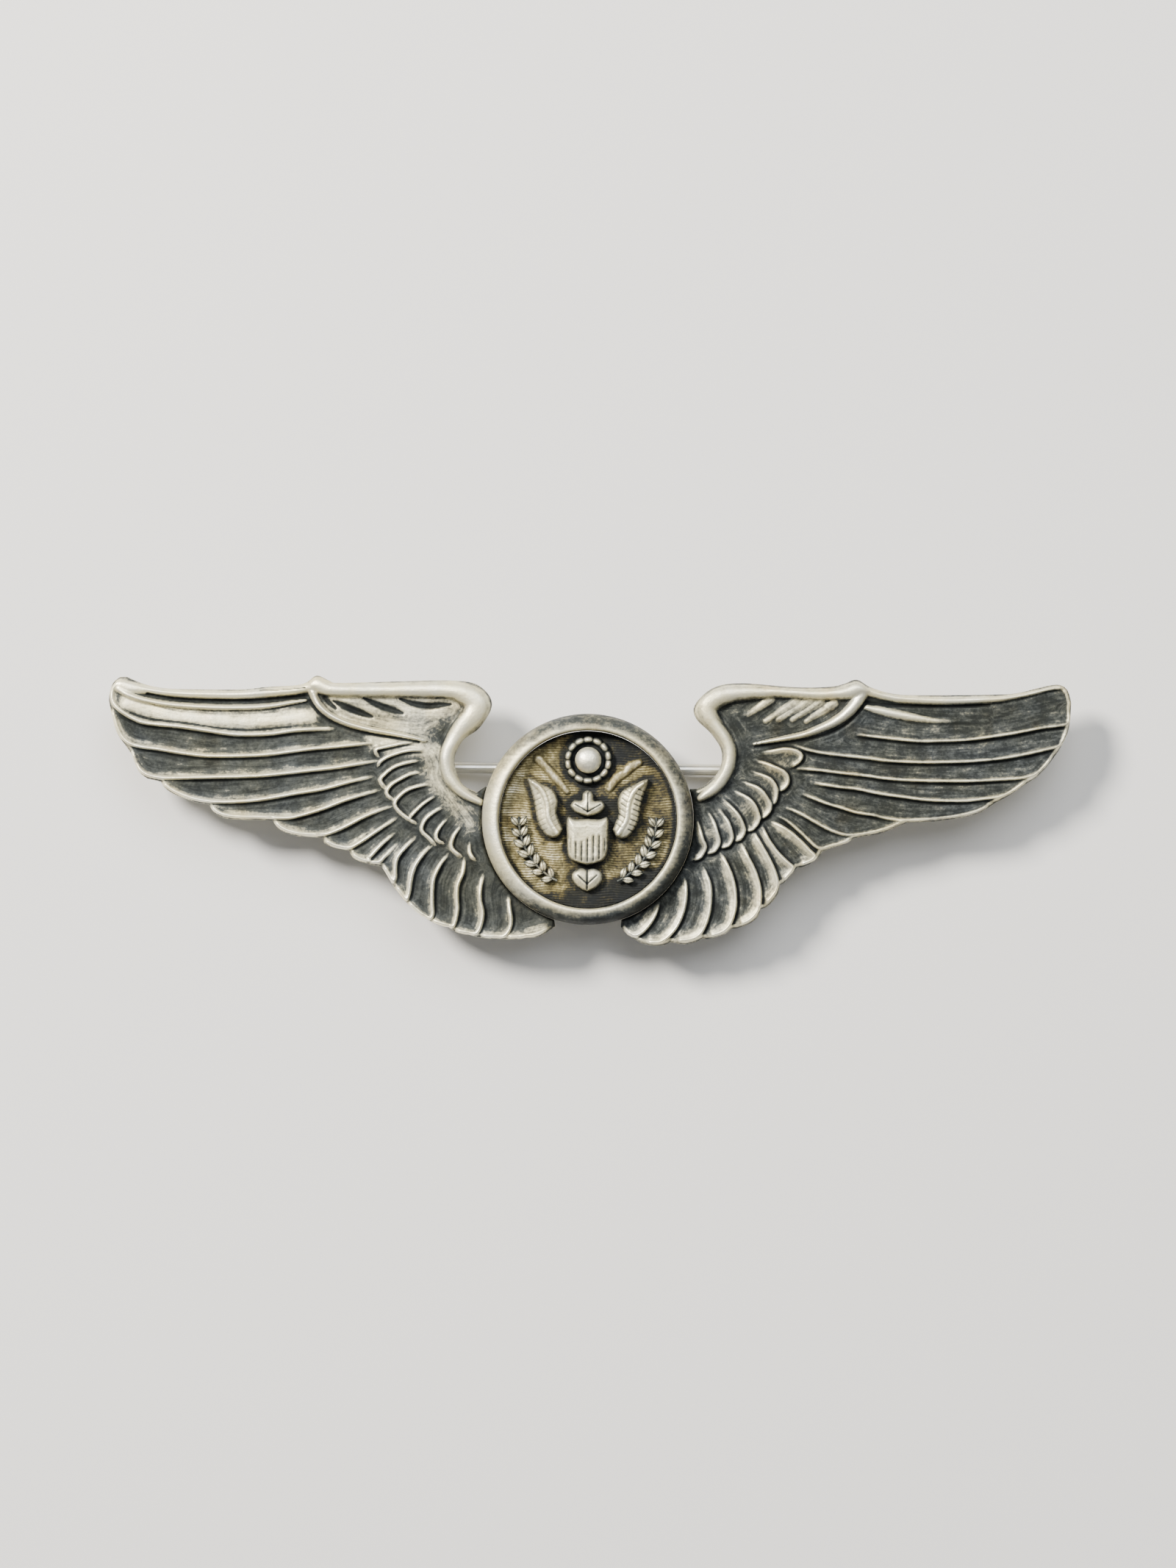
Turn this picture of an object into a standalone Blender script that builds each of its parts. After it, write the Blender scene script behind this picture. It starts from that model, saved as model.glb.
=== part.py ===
"""Aircrew wings badge: two struck wings soldered to a ringed centre disc with a small
plain crest, and on the back a hinged pin with a turning safety catch.

Frame, in metres: +X along the span, +Y to the top of the badge, +Z out of its face.
The origin is the centre of the disc's flat back, and all flat backs lie at z = 0.
Lengths below are in millimetres and MM turns them into metres.
"""
import math

import bmesh
import bpy
from mathutils import Matrix, Vector
from mathutils.geometry import delaunay_2d_cdt

MM = 0.001

# Struck front.
RING_OUTER = 8.35
RING_INNER = 7.02
RING_CREST = 3.05
DISC_RADIUS = 6.98
DISC_TOP = 1.7
SEAM = 0.05                 # solder seam between the wings and the ring
WING_EDGE = 0.95            # thickness at the trimmed edge
WING_FIELD = 1.3            # thickness between the ribs
RIB_CREST = 1.75
RIM_CREST = 2.1
RIB_HALF = 0.42             # half the width of a rib's foot
RIM_HALF = 0.7
EDGE_SLOPE = 0.5            # the field falls to the edge over this width
EDGE_CLEAR = 0.25           # ribs and rims stop this far from the edge
OUTLINE_STEP = 1.0          # spacing of the points along a smooth outline
RIB_STEP = 1.5
ROUND = 64                  # sides of the disc and the ring

# Crest on the disc.
CREST_BACK = DISC_TOP + 0.02
CREST_TOP = 3.0
PLUME_TOP = 2.85
PALMETTE_TOP = 2.8
FINIAL_TOP = 2.5
CREST_STEP = 0.6            # spacing of the points along a plume
CREST_BEVEL = 0.2           # the shield's and finial's faces are drawn in and lifted by this
SPRAY_TOP = 2.3
BOSS_TOP = 3.2
BOSS_Y = 4.67
BOSS_RADIUS = 1.05
BOSS_SIDES = 24

# Pin, hinge and catch. The pin's axis runs along X.
PIN_Y = 4.0
PIN_Z = -2.65
PIN_RADIUS = 0.45
PIN_TAPER_X = 17.0
PIN_POINT_X = 25.2
PIN_MID_RADIUS = 0.37       # halfway down the taper
POINT_RADIUS = 0.05
HINGE_X = -22.0
CATCH_X = 22.0
PLATE_TOP = -0.02           # solder gap under the wings' backs
PLATE_BOTTOM = -0.42
FOOT_TOP = -0.44
FOOT_BOTTOM = -0.8
HINGE_PLATE = (7.0, 5.0)
HINGE_FOOT_LENGTH = 3.8
EAR_INNER = 0.8             # half the gap between the hinge's two ears
EAR_OUTER = 1.25
EAR_RADIUS = 1.1
EYE_RADIUS = 1.05
EYE_HALF = 0.72
RIVET_RADIUS = 0.36
RIVET_HOLE = 0.42
RIVET_HEAD = 0.75
RIVET_HEAD_THICK = 0.35
RIVET_FACE = 0.5            # radius of the flat on each rivet head
CUTTER = 3.0                # reach of the shapes that only cut
WIRE_SIDES = 16
RUNNING = 0.04              # clearance beside a turning piece
CATCH_PLATE_RADIUS = 2.6
CATCH_FOOT_WIDTH = 3.6
CATCH_NECK_HALF = 0.9
CATCH_HALF = 0.9            # half the catch housing's length along X
CATCH_RADIUS = 1.65
CATCH_MOUTH = 1.3
ROTOR_RADIUS = 1.06
ROTOR_BORE = 0.62
ROTOR_GAP_HALF = 54.0       # half the sleeve's open angle, in degrees
ROTOR_STEPS = 21
ROTOR_FLANGE = 1.45
ROTOR_FLANGE_THICK = 0.55
THUMB_LENGTH = 2.35
THUMB_WALLS = 2             # how many of the flange's sides the tab grows from

# The wings' smooth stretches of outline, each from one corner to the next. The first
# runs over the top from the tip to the ring, the rest back along the feathers' ends.
LEFT_TOP = [
    (-36.6, 10.97), (-35.4, 10.46), (-34.1, 10.15), (-32.4, 10.03), (-27.7, 10.03),
    (-25.7, 10.24), (-23.2, 10.41), (-22.3, 10.67), (-21.54, 11.2), (-20.5, 10.77),
    (-19.7, 10.62), (-15.0, 10.79), (-11.0, 10.89), (-8.8, 10.56), (-7.65, 9.1),
    (-8.6, 7.2), (-9.95, 6.15), (-10.6, 4.6), (-10.05, 2.8), (-8.8, 2.05),
]
LEFT_FEATHER_ENDS = [
    [(-2.5, -8.5), (-3.1, -8.95), (-4.0, -9.4), (-6.3, -9.57), (-8.6, -9.4), (-10.1, -9.1)],
    [(-11.0, -8.6), (-12.0, -8.35), (-13.0, -7.8), (-14.0, -6.9), (-15.0, -5.9)],
    [(-15.65, -4.9), (-16.2, -4.1), (-17.1, -3.74), (-18.0, -3.5), (-18.6, -3.16), (-18.85, -2.65)],
    [(-20.0, -2.44), (-20.84, -2.08), (-20.95, -1.65)],
    [(-23.0, -1.54), (-24.0, -1.23), (-24.6, -0.82), (-24.95, -0.3)],
    [(-27.3, -0.28), (-28.65, -0.2), (-29.5, 0.2), (-30.0, 0.9)],
    [(-31.1, 1.08), (-32.85, 1.74), (-33.6, 2.3), (-33.8, 2.67)],
    [(-34.9, 2.92), (-35.6, 3.5), (-36.2, 4.9), (-36.4, 5.2)],
    [(-37.05, 6.05), (-37.46, 6.87), (-37.92, 8.7), (-37.97, 9.44), (-37.67, 10.46)],
]
RIGHT_TOP = [
    (38.2, 9.56), (37.9, 10.54), (37.3, 10.96), (36.4, 10.9), (35.2, 10.6), (34.0, 10.3),
    (32.2, 10.15), (26.1, 10.05), (24.0, 10.17), (22.3, 10.65), (21.2, 11.24), (20.2, 10.9),
    (19.0, 10.65), (16.3, 10.6), (12.0, 10.87), (9.8, 10.46), (8.4, 9.1), (8.55, 8.0),
    (9.7, 6.87), (10.55, 5.5), (10.4, 4.0), (9.4, 2.87), (8.7, 2.5),
]
RIGHT_FEATHER_ENDS = [
    [(2.7, -8.5), (3.2, -9.1), (4.35, -9.8), (5.4, -9.98), (6.65, -9.73)],
    [(7.7, -9.85), (9.3, -9.4), (10.9, -9.04), (11.85, -8.5), (12.8, -8.2), (13.5, -7.65)],
    [(13.8, -7.0), (14.5, -6.6), (15.1, -5.8), (15.3, -5.15)],
    [(15.85, -4.64), (16.7, -3.72), (17.6, -3.4), (18.3, -2.9)],
    [(18.7, -2.4), (19.3, -2.08), (20.4, -1.77), (21.2, -1.36)],
    [(22.0, -1.15), (23.1, -0.95), (25.4, -0.1)],
    [(27.4, 0.05), (29.8, 0.4), (31.2, 0.8)],
    [(32.3, 1.6), (34.6, 3.05), (35.5, 3.6), (36.3, 4.45), (37.2, 5.67)],
    [(37.66, 6.5), (38.0, 7.37), (38.15, 8.35)],
]

# Ribs: each runs from a feather's end towards the root.
LEFT_RIBS = [
    [(-35.6, 9.3), (-33.0, 8.77), (-28.5, 8.55), (-22.6, 9.1)],
    [(-36.9, 8.1), (-34.0, 7.08), (-27.0, 6.41), (-20.6, 6.85)],
    [(-35.6, 5.45), (-30.0, 4.75), (-25.0, 4.92), (-17.0, 5.85)],
    [(-33.0, 3.0), (-27.0, 3.13), (-22.0, 3.64), (-16.8, 4.4)],
    [(-29.0, 1.15), (-25.0, 1.51), (-21.0, 2.18), (-17.3, 3.1)],
    [(-24.0, -0.1), (-21.0, 0.6), (-17.0, 2.0)],
    [(-20.1, -1.2), (-17.7, 0.0), (-15.8, 0.8)],
    [(-18.0, -2.2), (-16.5, -1.1), (-15.4, -0.3)],
    [(-13.2, -7.0), (-13.9, -5.2), (-13.3, -3.4), (-12.2, -2.2)],
    [(-10.8, -8.2), (-12.1, -6.4), (-11.9, -4.4), (-11.0, -2.9)],
    [(-8.9, -8.7), (-10.2, -7.0), (-10.2, -5.2), (-9.7, -3.2)],
    [(-6.9, -8.9), (-8.1, -7.5), (-8.4, -5.8), (-8.3, -4.7)],
    [(-4.7, -8.8), (-5.7, -7.9), (-6.1, -6.8)],
]
RIGHT_RIBS = [
    [(22.4, 8.9), (25.0, 8.4), (27.9, 7.98), (31.0, 8.04)],
    [(21.3, 6.85), (26.1, 6.37), (32.2, 6.82), (37.1, 7.75)],
    [(17.0, 5.55), (22.0, 5.0), (28.0, 4.73), (36.3, 5.85)],
    [(17.0, 4.12), (22.0, 3.6), (28.0, 3.22), (34.7, 3.75)],
    [(18.0, 3.0), (23.0, 2.2), (28.5, 1.67), (32.0, 2.0)],
    [(17.2, 2.0), (21.2, 0.7), (24.8, 0.3)],
    [(16.0, 0.9), (18.4, -0.3), (20.0, -0.9)],
    [(15.2, 0.3), (16.9, -1.0), (18.0, -1.9)],
    [(12.8, -2.6), (13.7, -4.6), (13.8, -6.3)],
    [(11.0, -3.1), (11.9, -5.4), (11.6, -7.8)],
    [(9.6, -3.9), (10.0, -6.2), (9.4, -8.4)],
    [(8.1, -4.7), (7.95, -6.4), (7.0, -9.0)],
    [(5.9, -6.8), (5.2, -8.1), (4.3, -9.1)],
]
LEFT_RIMS = [
    [(-21.2, 10.2), (-15.0, 10.3), (-10.6, 10.25), (-8.9, 9.1), (-9.9, 7.2), (-11.1, 5.2), (-10.4, 2.6)],
]
RIGHT_RIMS = [
    [(20.8, 10.2), (15.0, 10.15), (11.2, 10.1), (9.5, 9.1), (10.2, 7.4), (11.1, 5.4), (10.3, 2.9)],
]

# Half of the crest's outlines, on the +X side of its middle line.
SHIELD_HALF = [
    (0.0, 0.05), (0.9, 0.0), (1.6, 0.12), (1.64, -1.3),
    (1.6, -2.5), (1.35, -3.15), (0.75, -3.45), (0.0, -3.6),
]
PALMETTE_HALF = [(0.0, 2.35), (0.4, 2.05), (0.5, 1.5), (1.1, 1.5), (1.4, 1.0), (0.9, 0.5), (0.0, 0.3)]
FINIAL_HALF = [(0.0, -4.0), (0.5, -3.85), (1.15, -4.2), (1.2, -4.8), (0.7, -5.4), (0.0, -5.75)]
PLUME = [
    (1.95, -0.8), (2.15, -0.3), (2.42, 0.5), (2.35, 1.5), (2.75, 2.3), (3.6, 2.75), (4.75, 3.2),
    (4.4, 1.9), (4.15, 0.7), (3.9, -0.4), (3.2, -1.35), (2.4, -1.45),
]
COLLAR_OUTER = 2.0
COLLAR_INNER = 1.3
COLLAR_TOP = 2.5
COLLAR_LOBES = 12
COLLAR_LOBE_DEPTH = 0.16
SPRAY_RADIUS = 5.45
SPRAY_HALF_WIDTH = 0.5
SPRAY_LEAF_DEPTH = 0.28
SPRAY_LEAVES = 6
SPRAY_FROM = math.radians(-2)
SPRAY_TO = math.radians(-58)


def clear_scene():
    for thing in list(bpy.data.objects):
        bpy.data.objects.remove(thing, do_unlink=True)


def metal(name, colour, roughness):
    """A bare metal finish."""
    finish = bpy.data.materials.new(name)
    finish.use_nodes = True
    shader = finish.node_tree.nodes["Principled BSDF"]
    shader.inputs["Base Color"].default_value = (*colour, 1.0)
    shader.inputs["Metallic"].default_value = 1.0
    shader.inputs["Roughness"].default_value = roughness
    return finish


def place(name, mesh, finish, origin=(0.0, 0.0, 0.0)):
    """Put a bmesh, given in millimetres, into the scene with its origin on `origin`."""
    bmesh.ops.recalc_face_normals(mesh, faces=mesh.faces)
    bmesh.ops.transform(mesh, matrix=Matrix.Translation(-Vector(origin)), verts=mesh.verts)
    bmesh.ops.scale(mesh, vec=(MM, MM, MM), verts=mesh.verts)
    data = bpy.data.meshes.new(name)
    mesh.to_mesh(data)
    mesh.free()
    thing = bpy.data.objects.new(name, data)
    thing.location = Vector(origin) * MM
    bpy.context.scene.collection.objects.link(thing)
    data.shade_smooth()
    data.set_sharp_from_angle(angle=math.radians(30))
    if finish is not None:
        data.materials.append(finish)
    return thing


def boolean(thing, other, operation):
    """Join or cut with another object, which then counts only as a guide."""
    step = thing.modifiers.new(operation.lower(), "BOOLEAN")
    step.operation = operation
    step.object = other
    other.hide_render = True
    other.display_type = "WIRE"


def curve_point(before, start, end, after, t):
    """A point between start and end on the smooth curve through all four."""
    terms = zip(before, start, end, after)
    return tuple(
        b + 0.5 * t * (c - a + t * (2 * a - 5 * b + 4 * c - d + t * (3 * (b - c) + d - a)))
        for a, b, c, d in terms
    )


def smooth_line(points, spacing):
    """A smooth curve through the points, with a point about every `spacing`."""
    padded = [points[0], *points, points[-1]]
    line = []
    for before, start, end, after in zip(padded, padded[1:], padded[2:], padded[3:]):
        steps = max(1, round(math.dist(start, end) / spacing))
        line += [curve_point(before, start, end, after, step / steps) for step in range(steps)]
    line.append(points[-1])
    return line


def arc(radius, start_deg, end_deg, steps):
    angles = [math.radians(start_deg + (end_deg - start_deg) * step / steps) for step in range(steps + 1)]
    return [(radius * math.cos(angle), radius * math.sin(angle)) for angle in angles]


def wing_outline(top, ring_arc, feather_ends):
    outline = smooth_line(top, OUTLINE_STEP) + ring_arc
    for stretch in feather_ends:
        outline += smooth_line(stretch, OUTLINE_STEP)
    return outline


def line_distance(point, line):
    """Shortest distance from a point to an open line."""
    best = math.inf
    for (ax, ay), (bx, by) in zip(line, line[1:]):
        dx, dy = bx - ax, by - ay
        along = ((point[0] - ax) * dx + (point[1] - ay) * dy) / (dx * dx + dy * dy)
        along = min(1.0, max(0.0, along))
        best = min(best, math.hypot(ax + along * dx - point[0], ay + along * dy - point[1]))
    return best


def inside(point, outline):
    """Whether a point lies within a closed outline."""
    crossings = 0
    for (ax, ay), (bx, by) in zip(outline, outline[1:] + outline[:1]):
        if (ay > point[1]) != (by > point[1]) and point[0] < ax + (point[1] - ay) * (bx - ax) / (by - ay):
            crossings += 1
    return crossings % 2 == 1


def offset_line(line, distance):
    """The line moved sideways, point by point."""
    moved = []
    for index, (x, y) in enumerate(line):
        before, after = line[max(0, index - 1)], line[min(len(line) - 1, index + 1)]
        dx, dy = after[0] - before[0], after[1] - before[1]
        length = math.hypot(dx, dy)
        moved.append((x - dy / length * distance, y + dx / length * distance))
    return moved


def triangulated(points, edges, outline):
    """Triangles over the points within the outline, which the points begin with.

    Also gives where each of the outline's own points ended up."""
    loop = [(index, (index + 1) % len(outline)) for index in range(len(outline))]
    spots = [Vector(point) for point in points]
    flat, _, triangles, sources, _, _ = delaunay_2d_cdt(spots, loop + edges, [], 0, 1e-5, True)
    places = [next(new for new, old in enumerate(sources) if index in old) for index in range(len(outline))]
    kept = []
    for triangle in triangles:
        middle = sum((flat[index] for index in triangle), Vector((0.0, 0.0))) / 3
        if inside(middle, outline):
            kept.append(triangle)
    return flat, kept, places


def struck_wing(name, outline, ribs, rims, finish):
    """A flat-backed wing whose face rises to the given ribs and rims."""
    closed = outline + outline[:1]
    raised = [(smooth_line(rib, RIB_STEP), RIB_CREST, RIB_HALF) for rib in ribs]
    raised += [(smooth_line(rim, RIB_STEP), RIM_CREST, RIM_HALF) for rim in rims]

    points = list(outline)
    edges = []
    for line, _, half in raised:
        for row in (line, offset_line(line, half), offset_line(line, -half)):
            kept = [p for p in row if inside(p, outline) and line_distance(p, closed) > EDGE_CLEAR]
            if row is line:
                first = len(points)
                edges += [(index, index + 1) for index in range(first, first + len(kept) - 1)]
            points += kept

    def height(point):
        slope = min(1.0, line_distance(point, closed) / EDGE_SLOPE)
        best = WING_EDGE + slope * (WING_FIELD - WING_EDGE)
        for line, crest, half in raised:
            fall = line_distance(point, line) / half
            best = max(best, crest - (crest - WING_FIELD) * fall) if fall < 1.0 else best
        return best

    flat, triangles, places = triangulated(points, edges, outline)
    mesh = bmesh.new()
    edge_set = set(places)
    top = [mesh.verts.new((v.x, v.y, WING_EDGE if i in edge_set else height(v))) for i, v in enumerate(flat)]
    for triangle in triangles:
        mesh.faces.new([top[index] for index in triangle])
    rim = [top[index] for index in places]
    base = [mesh.verts.new((vert.co.x, vert.co.y, 0.0)) for vert in rim]
    for index in range(len(rim)):
        following = (index + 1) % len(rim)
        mesh.faces.new((rim[index], rim[following], base[following], base[index]))
    _, back, back_places = triangulated(outline, [], outline)
    for triangle in back:
        mesh.faces.new([base[back_places.index(index)] for index in triangle])
    return place(name, mesh, finish)


def turned(name, profile, finish, axis="Z", centre=(0.0, 0.0, 0.0), sides=ROUND, closed=True):
    """Turn a profile of (radius, height) points about an axis through `centre`.

    A closed profile makes a ring; an open one starts and ends on the axis."""
    mesh = bmesh.new()
    loops = []
    for radius, level in profile:
        if radius == 0.0:
            loops.append([mesh.verts.new((0.0, 0.0, level))] * sides)
            continue
        angles = [2 * math.pi * side / sides for side in range(sides)]
        loops.append([mesh.verts.new((radius * math.cos(a), radius * math.sin(a), level)) for a in angles])
    pairs = list(zip(loops, loops[1:]))
    if closed:
        pairs.append((loops[-1], loops[0]))
    for one, two in pairs:
        for side in range(sides):
            following = (side + 1) % sides
            corners = [one[side], one[following], two[following], two[side]]
            mesh.faces.new(list(dict.fromkeys(corners)))
    turn = {"Z": Matrix.Identity(4), "X": Matrix.Rotation(math.radians(90), 4, "Y"),
            "Y": Matrix.Rotation(math.radians(-90), 4, "X")}[axis]
    bmesh.ops.transform(mesh, matrix=Matrix.Translation(centre) @ turn, verts=mesh.verts)
    return place(name, mesh, finish, centre)


def extruded(name, outline, low, high, axis, centre, finish=None):
    """A solid of even section along X or Y; the outline is measured from `centre`."""
    mesh = bmesh.new()
    ends = []
    for level in (low, high):
        spots = [(level, a, b) if axis == "X" else (a, level, b) for a, b in outline]
        ends.append([mesh.verts.new(Vector(spot) + Vector(centre)) for spot in spots])
    for index in range(len(outline)):
        following = (index + 1) % len(outline)
        mesh.faces.new((ends[0][index], ends[0][following], ends[1][following], ends[1][index]))
    _, cap, places = triangulated(outline, [], outline)
    for end in ends:
        for triangle in cap:
            mesh.faces.new([end[places.index(index)] for index in triangle])
    return place(name, mesh, finish, centre)


def raised_shape(name, outline, bottom, top, finish, inset=0.0, rise=0.0):
    """An upright solid on an outline, with its top face drawn in and lifted."""
    mesh = bmesh.new()
    face = mesh.faces.new([mesh.verts.new((x, y, bottom)) for x, y in outline])
    result = bmesh.ops.extrude_face_region(mesh, geom=[face])
    lifted = [part for part in result["geom"] if isinstance(part, bmesh.types.BMVert)]
    bmesh.ops.translate(mesh, verts=lifted, vec=(0.0, 0.0, top - rise - bottom))
    if inset > 0.0:
        cap = [part for part in result["geom"] if isinstance(part, bmesh.types.BMFace)]
        bmesh.ops.inset_region(mesh, faces=cap, thickness=inset)
        bmesh.ops.translate(mesh, verts=list(cap[0].verts), vec=(0.0, 0.0, rise))
    bmesh.ops.triangulate(mesh, faces=[face for face in mesh.faces if len(face.verts) > 4])
    return place(name, mesh, finish)


def box(name, low, high, finish=None):
    mesh = bmesh.new()
    bmesh.ops.create_cube(mesh, size=1.0)
    for vert in mesh.verts:
        vert.co = [low[i] + (vert.co[i] + 0.5) * (high[i] - low[i]) for i in range(3)]
    return place(name, mesh, finish)


def rod(name, radius, start, end, axis, centre, sides, finish=None):
    """A plain cylinder from `start` to `end` along an axis, measured from `centre`."""
    profile = [(0.0, start), (radius, start), (radius, end), (0.0, end)]
    return turned(name, profile, finish, axis, centre, sides, closed=False)


def mirrored(half):
    """A whole outline from the half on the +X side."""
    return half + [(-x, y) for x, y in reversed(half) if x > 0.0]


def make_front(silver, ring_silver, toned):
    left_arc = arc(RING_OUTER + SEAM, 162, 252, 24)
    right_arc = arc(RING_OUTER + SEAM, 17, -71, 24)
    left_outline = wing_outline(LEFT_TOP, left_arc, LEFT_FEATHER_ENDS)
    right_outline = wing_outline(RIGHT_TOP, right_arc, RIGHT_FEATHER_ENDS)
    struck_wing("left_wing", left_outline, LEFT_RIBS, LEFT_RIMS, silver)
    struck_wing("right_wing", right_outline, RIGHT_RIBS, RIGHT_RIMS, silver)
    disc = [(0.0, 0.0), (DISC_RADIUS, 0.0), (DISC_RADIUS, DISC_TOP), (0.0, DISC_TOP)]
    turned("medallion_disc", disc, toned, closed=False)
    ring = [
        (RING_INNER, 0.0), (RING_INNER, RING_CREST - 0.35), (RING_INNER + 0.15, RING_CREST - 0.08),
        (RING_INNER + 0.4, RING_CREST), (RING_INNER + 0.75, RING_CREST - 0.3),
        (RING_OUTER - 0.25, RING_CREST - 1.05), (RING_OUTER, RING_CREST - 1.8), (RING_OUTER, 0.0),
    ]
    turned("bezel_ring", ring, ring_silver)


def make_crest(silver):
    bevel = (CREST_BEVEL, CREST_BEVEL)
    raised_shape("crest_shield", mirrored(SHIELD_HALF), CREST_BACK, CREST_TOP, silver, *bevel)
    raised_shape("crest_palmette", mirrored(PALMETTE_HALF), CREST_BACK, PALMETTE_TOP, silver)
    raised_shape("crest_finial", mirrored(FINIAL_HALF), CREST_BACK, FINIAL_TOP, silver, *bevel)
    for side, sign in (("left", -1), ("right", 1)):
        plume = [(sign * x, y) for x, y in smooth_line(PLUME + PLUME[:1], CREST_STEP)[:-1]]
        raised_shape(f"crest_plume_{side}", plume, CREST_BACK, PLUME_TOP, silver)
        spray = [(sign * x, y) for x, y in spray_outline()]
        raised_shape(f"laurel_{side}", spray, CREST_BACK, SPRAY_TOP, silver)

    centre = (0.0, BOSS_Y, 0.0)
    dome = [(0.0, CREST_BACK), (BOSS_RADIUS, CREST_BACK), (BOSS_RADIUS, 2.45), (0.85, 2.85), (0.5, 3.1),
            (0.0, BOSS_TOP)]
    turned("crest_boss", dome, silver, centre=centre, sides=BOSS_SIDES, closed=False)
    collar = turned("crest_collar", [(COLLAR_INNER, CREST_BACK), (COLLAR_INNER, COLLAR_TOP),
                                     (COLLAR_OUTER, COLLAR_TOP), (COLLAR_OUTER, CREST_BACK)],
                    silver, centre=centre, sides=COLLAR_LOBES * 4)
    for vert in collar.data.vertices:
        reach = math.hypot(vert.co.x, vert.co.y)
        if reach > (COLLAR_INNER + COLLAR_OUTER) / 2 * MM:
            wave = abs(math.sin(COLLAR_LOBES / 2 * math.atan2(vert.co.y, vert.co.x)))
            scale = 1 - COLLAR_LOBE_DEPTH * (1 - wave) / COLLAR_OUTER
            vert.co.x *= scale
            vert.co.y *= scale


def spray_outline():
    """A leafy spray on the +X side: a narrow band on an arc with a leaf's bulge at each step."""
    steps = SPRAY_LEAVES * 6
    edges = []
    for side in (1, -1):
        edge = []
        for step in range(steps + 1):
            along = step / steps
            angle = SPRAY_FROM + (SPRAY_TO - SPRAY_FROM) * along
            bulge = SPRAY_LEAF_DEPTH * abs(math.sin(math.pi * SPRAY_LEAVES * along))
            taper = 0.25 + 0.75 * math.sin(math.pi * (0.08 + 0.84 * along))
            radius = SPRAY_RADIUS + side * taper * (SPRAY_HALF_WIDTH + bulge)
            edge.append((radius * math.cos(angle), radius * math.sin(angle)))
        edges.append(edge)
    return edges[0] + edges[1][::-1]


def make_hinge(nickel, steel):
    centre = (HINGE_X, PIN_Y, PIN_Z)
    half_x, half_y = HINGE_PLATE[0] / 2, HINGE_PLATE[1] / 2
    box("hinge_plate", (HINGE_X - half_x, PIN_Y - half_y, PLATE_BOTTOM),
        (HINGE_X + half_x, PIN_Y + half_y, PLATE_TOP), nickel)

    # One side view of foot and ear, cut down the middle to leave two ears.
    foot = HINGE_FOOT_LENGTH / 2
    side_view = arc(EAR_RADIUS, 0, -180, 12)
    foot_low, foot_high = FOOT_BOTTOM - PIN_Z, FOOT_TOP - PIN_Z
    side_view += [(-EAR_RADIUS, foot_low), (-foot, foot_low), (-foot, foot_high)]
    side_view += [(foot, foot_high), (foot, foot_low), (EAR_RADIUS, foot_low)]
    bracket = extruded("hinge_bracket", side_view, -EAR_OUTER, EAR_OUTER, "Y", centre, nickel)
    gap = box("guide_ear_gap", (HINGE_X - CUTTER, PIN_Y - EAR_INNER, PIN_Z - CUTTER),
              (HINGE_X + CUTTER, PIN_Y + EAR_INNER, FOOT_BOTTOM))
    boolean(bracket, gap, "DIFFERENCE")
    rivet_hole = rod("guide_rivet_hole", RIVET_HOLE, -CUTTER, CUTTER, "Y", centre, WIRE_SIDES)
    boolean(bracket, rivet_hole, "DIFFERENCE")

    head_from = EAR_OUTER + RUNNING
    head_to = head_from + RIVET_HEAD_THICK
    rivet = [(0.0, -head_to), (RIVET_FACE, -head_to), (RIVET_HEAD, -head_from), (RIVET_RADIUS, -head_from),
             (RIVET_RADIUS, head_from), (RIVET_HEAD, head_from), (RIVET_FACE, head_to), (0.0, head_to)]
    turned("hinge_rivet", rivet, steel, "Y", centre, WIRE_SIDES, closed=False)


def make_pin(steel):
    centre = (HINGE_X, PIN_Y, PIN_Z)
    length = PIN_POINT_X - HINGE_X
    taper = PIN_TAPER_X - HINGE_X
    shank = [(0.0, 0.0), (PIN_RADIUS, 0.0), (PIN_RADIUS, taper),
             (PIN_MID_RADIUS, (taper + length) / 2), (POINT_RADIUS, length), (0.0, length)]
    pin = turned("pin_stem", shank, steel, "X", centre, WIRE_SIDES, closed=False)
    boolean(pin, rod("guide_eye", EYE_RADIUS, -EYE_HALF, EYE_HALF, "Y", centre, 24), "UNION")
    boolean(pin, rod("guide_eye_hole", RIVET_HOLE, -CUTTER, CUTTER, "Y", centre, WIRE_SIDES), "DIFFERENCE")


def make_catch(nickel, steel):
    centre = (CATCH_X, PIN_Y, PIN_Z)
    rod("catch_plate", CATCH_PLATE_RADIUS, PLATE_BOTTOM, PLATE_TOP, "Z", (CATCH_X, PIN_Y, 0.0), 32, nickel)

    # End view of the housing: round outside, neck and foot above, bore and mouth below.
    foot, neck = CATCH_FOOT_WIDTH / 2, CATCH_NECK_HALF
    neck_angle = math.degrees(math.acos(neck / CATCH_RADIUS))
    mouth_angle = math.degrees(math.asin(CATCH_MOUTH / 2 / CATCH_RADIUS))
    bore = ROTOR_RADIUS + RUNNING
    bore_angle = math.degrees(math.asin(CATCH_MOUTH / 2 / bore))
    end_view = arc(CATCH_RADIUS, mouth_angle - 90, neck_angle, 12)
    end_view += [(neck, FOOT_BOTTOM - PIN_Z), (foot, FOOT_BOTTOM - PIN_Z), (foot, FOOT_TOP - PIN_Z)]
    end_view += [(-y, z) for y, z in reversed(end_view)]
    end_view += arc(bore, 270 - bore_angle, bore_angle - 90, 24)
    extruded("catch_body", end_view, -CATCH_HALF, CATCH_HALF, "X", centre, nickel)
    make_rotor(centre, steel)


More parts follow.
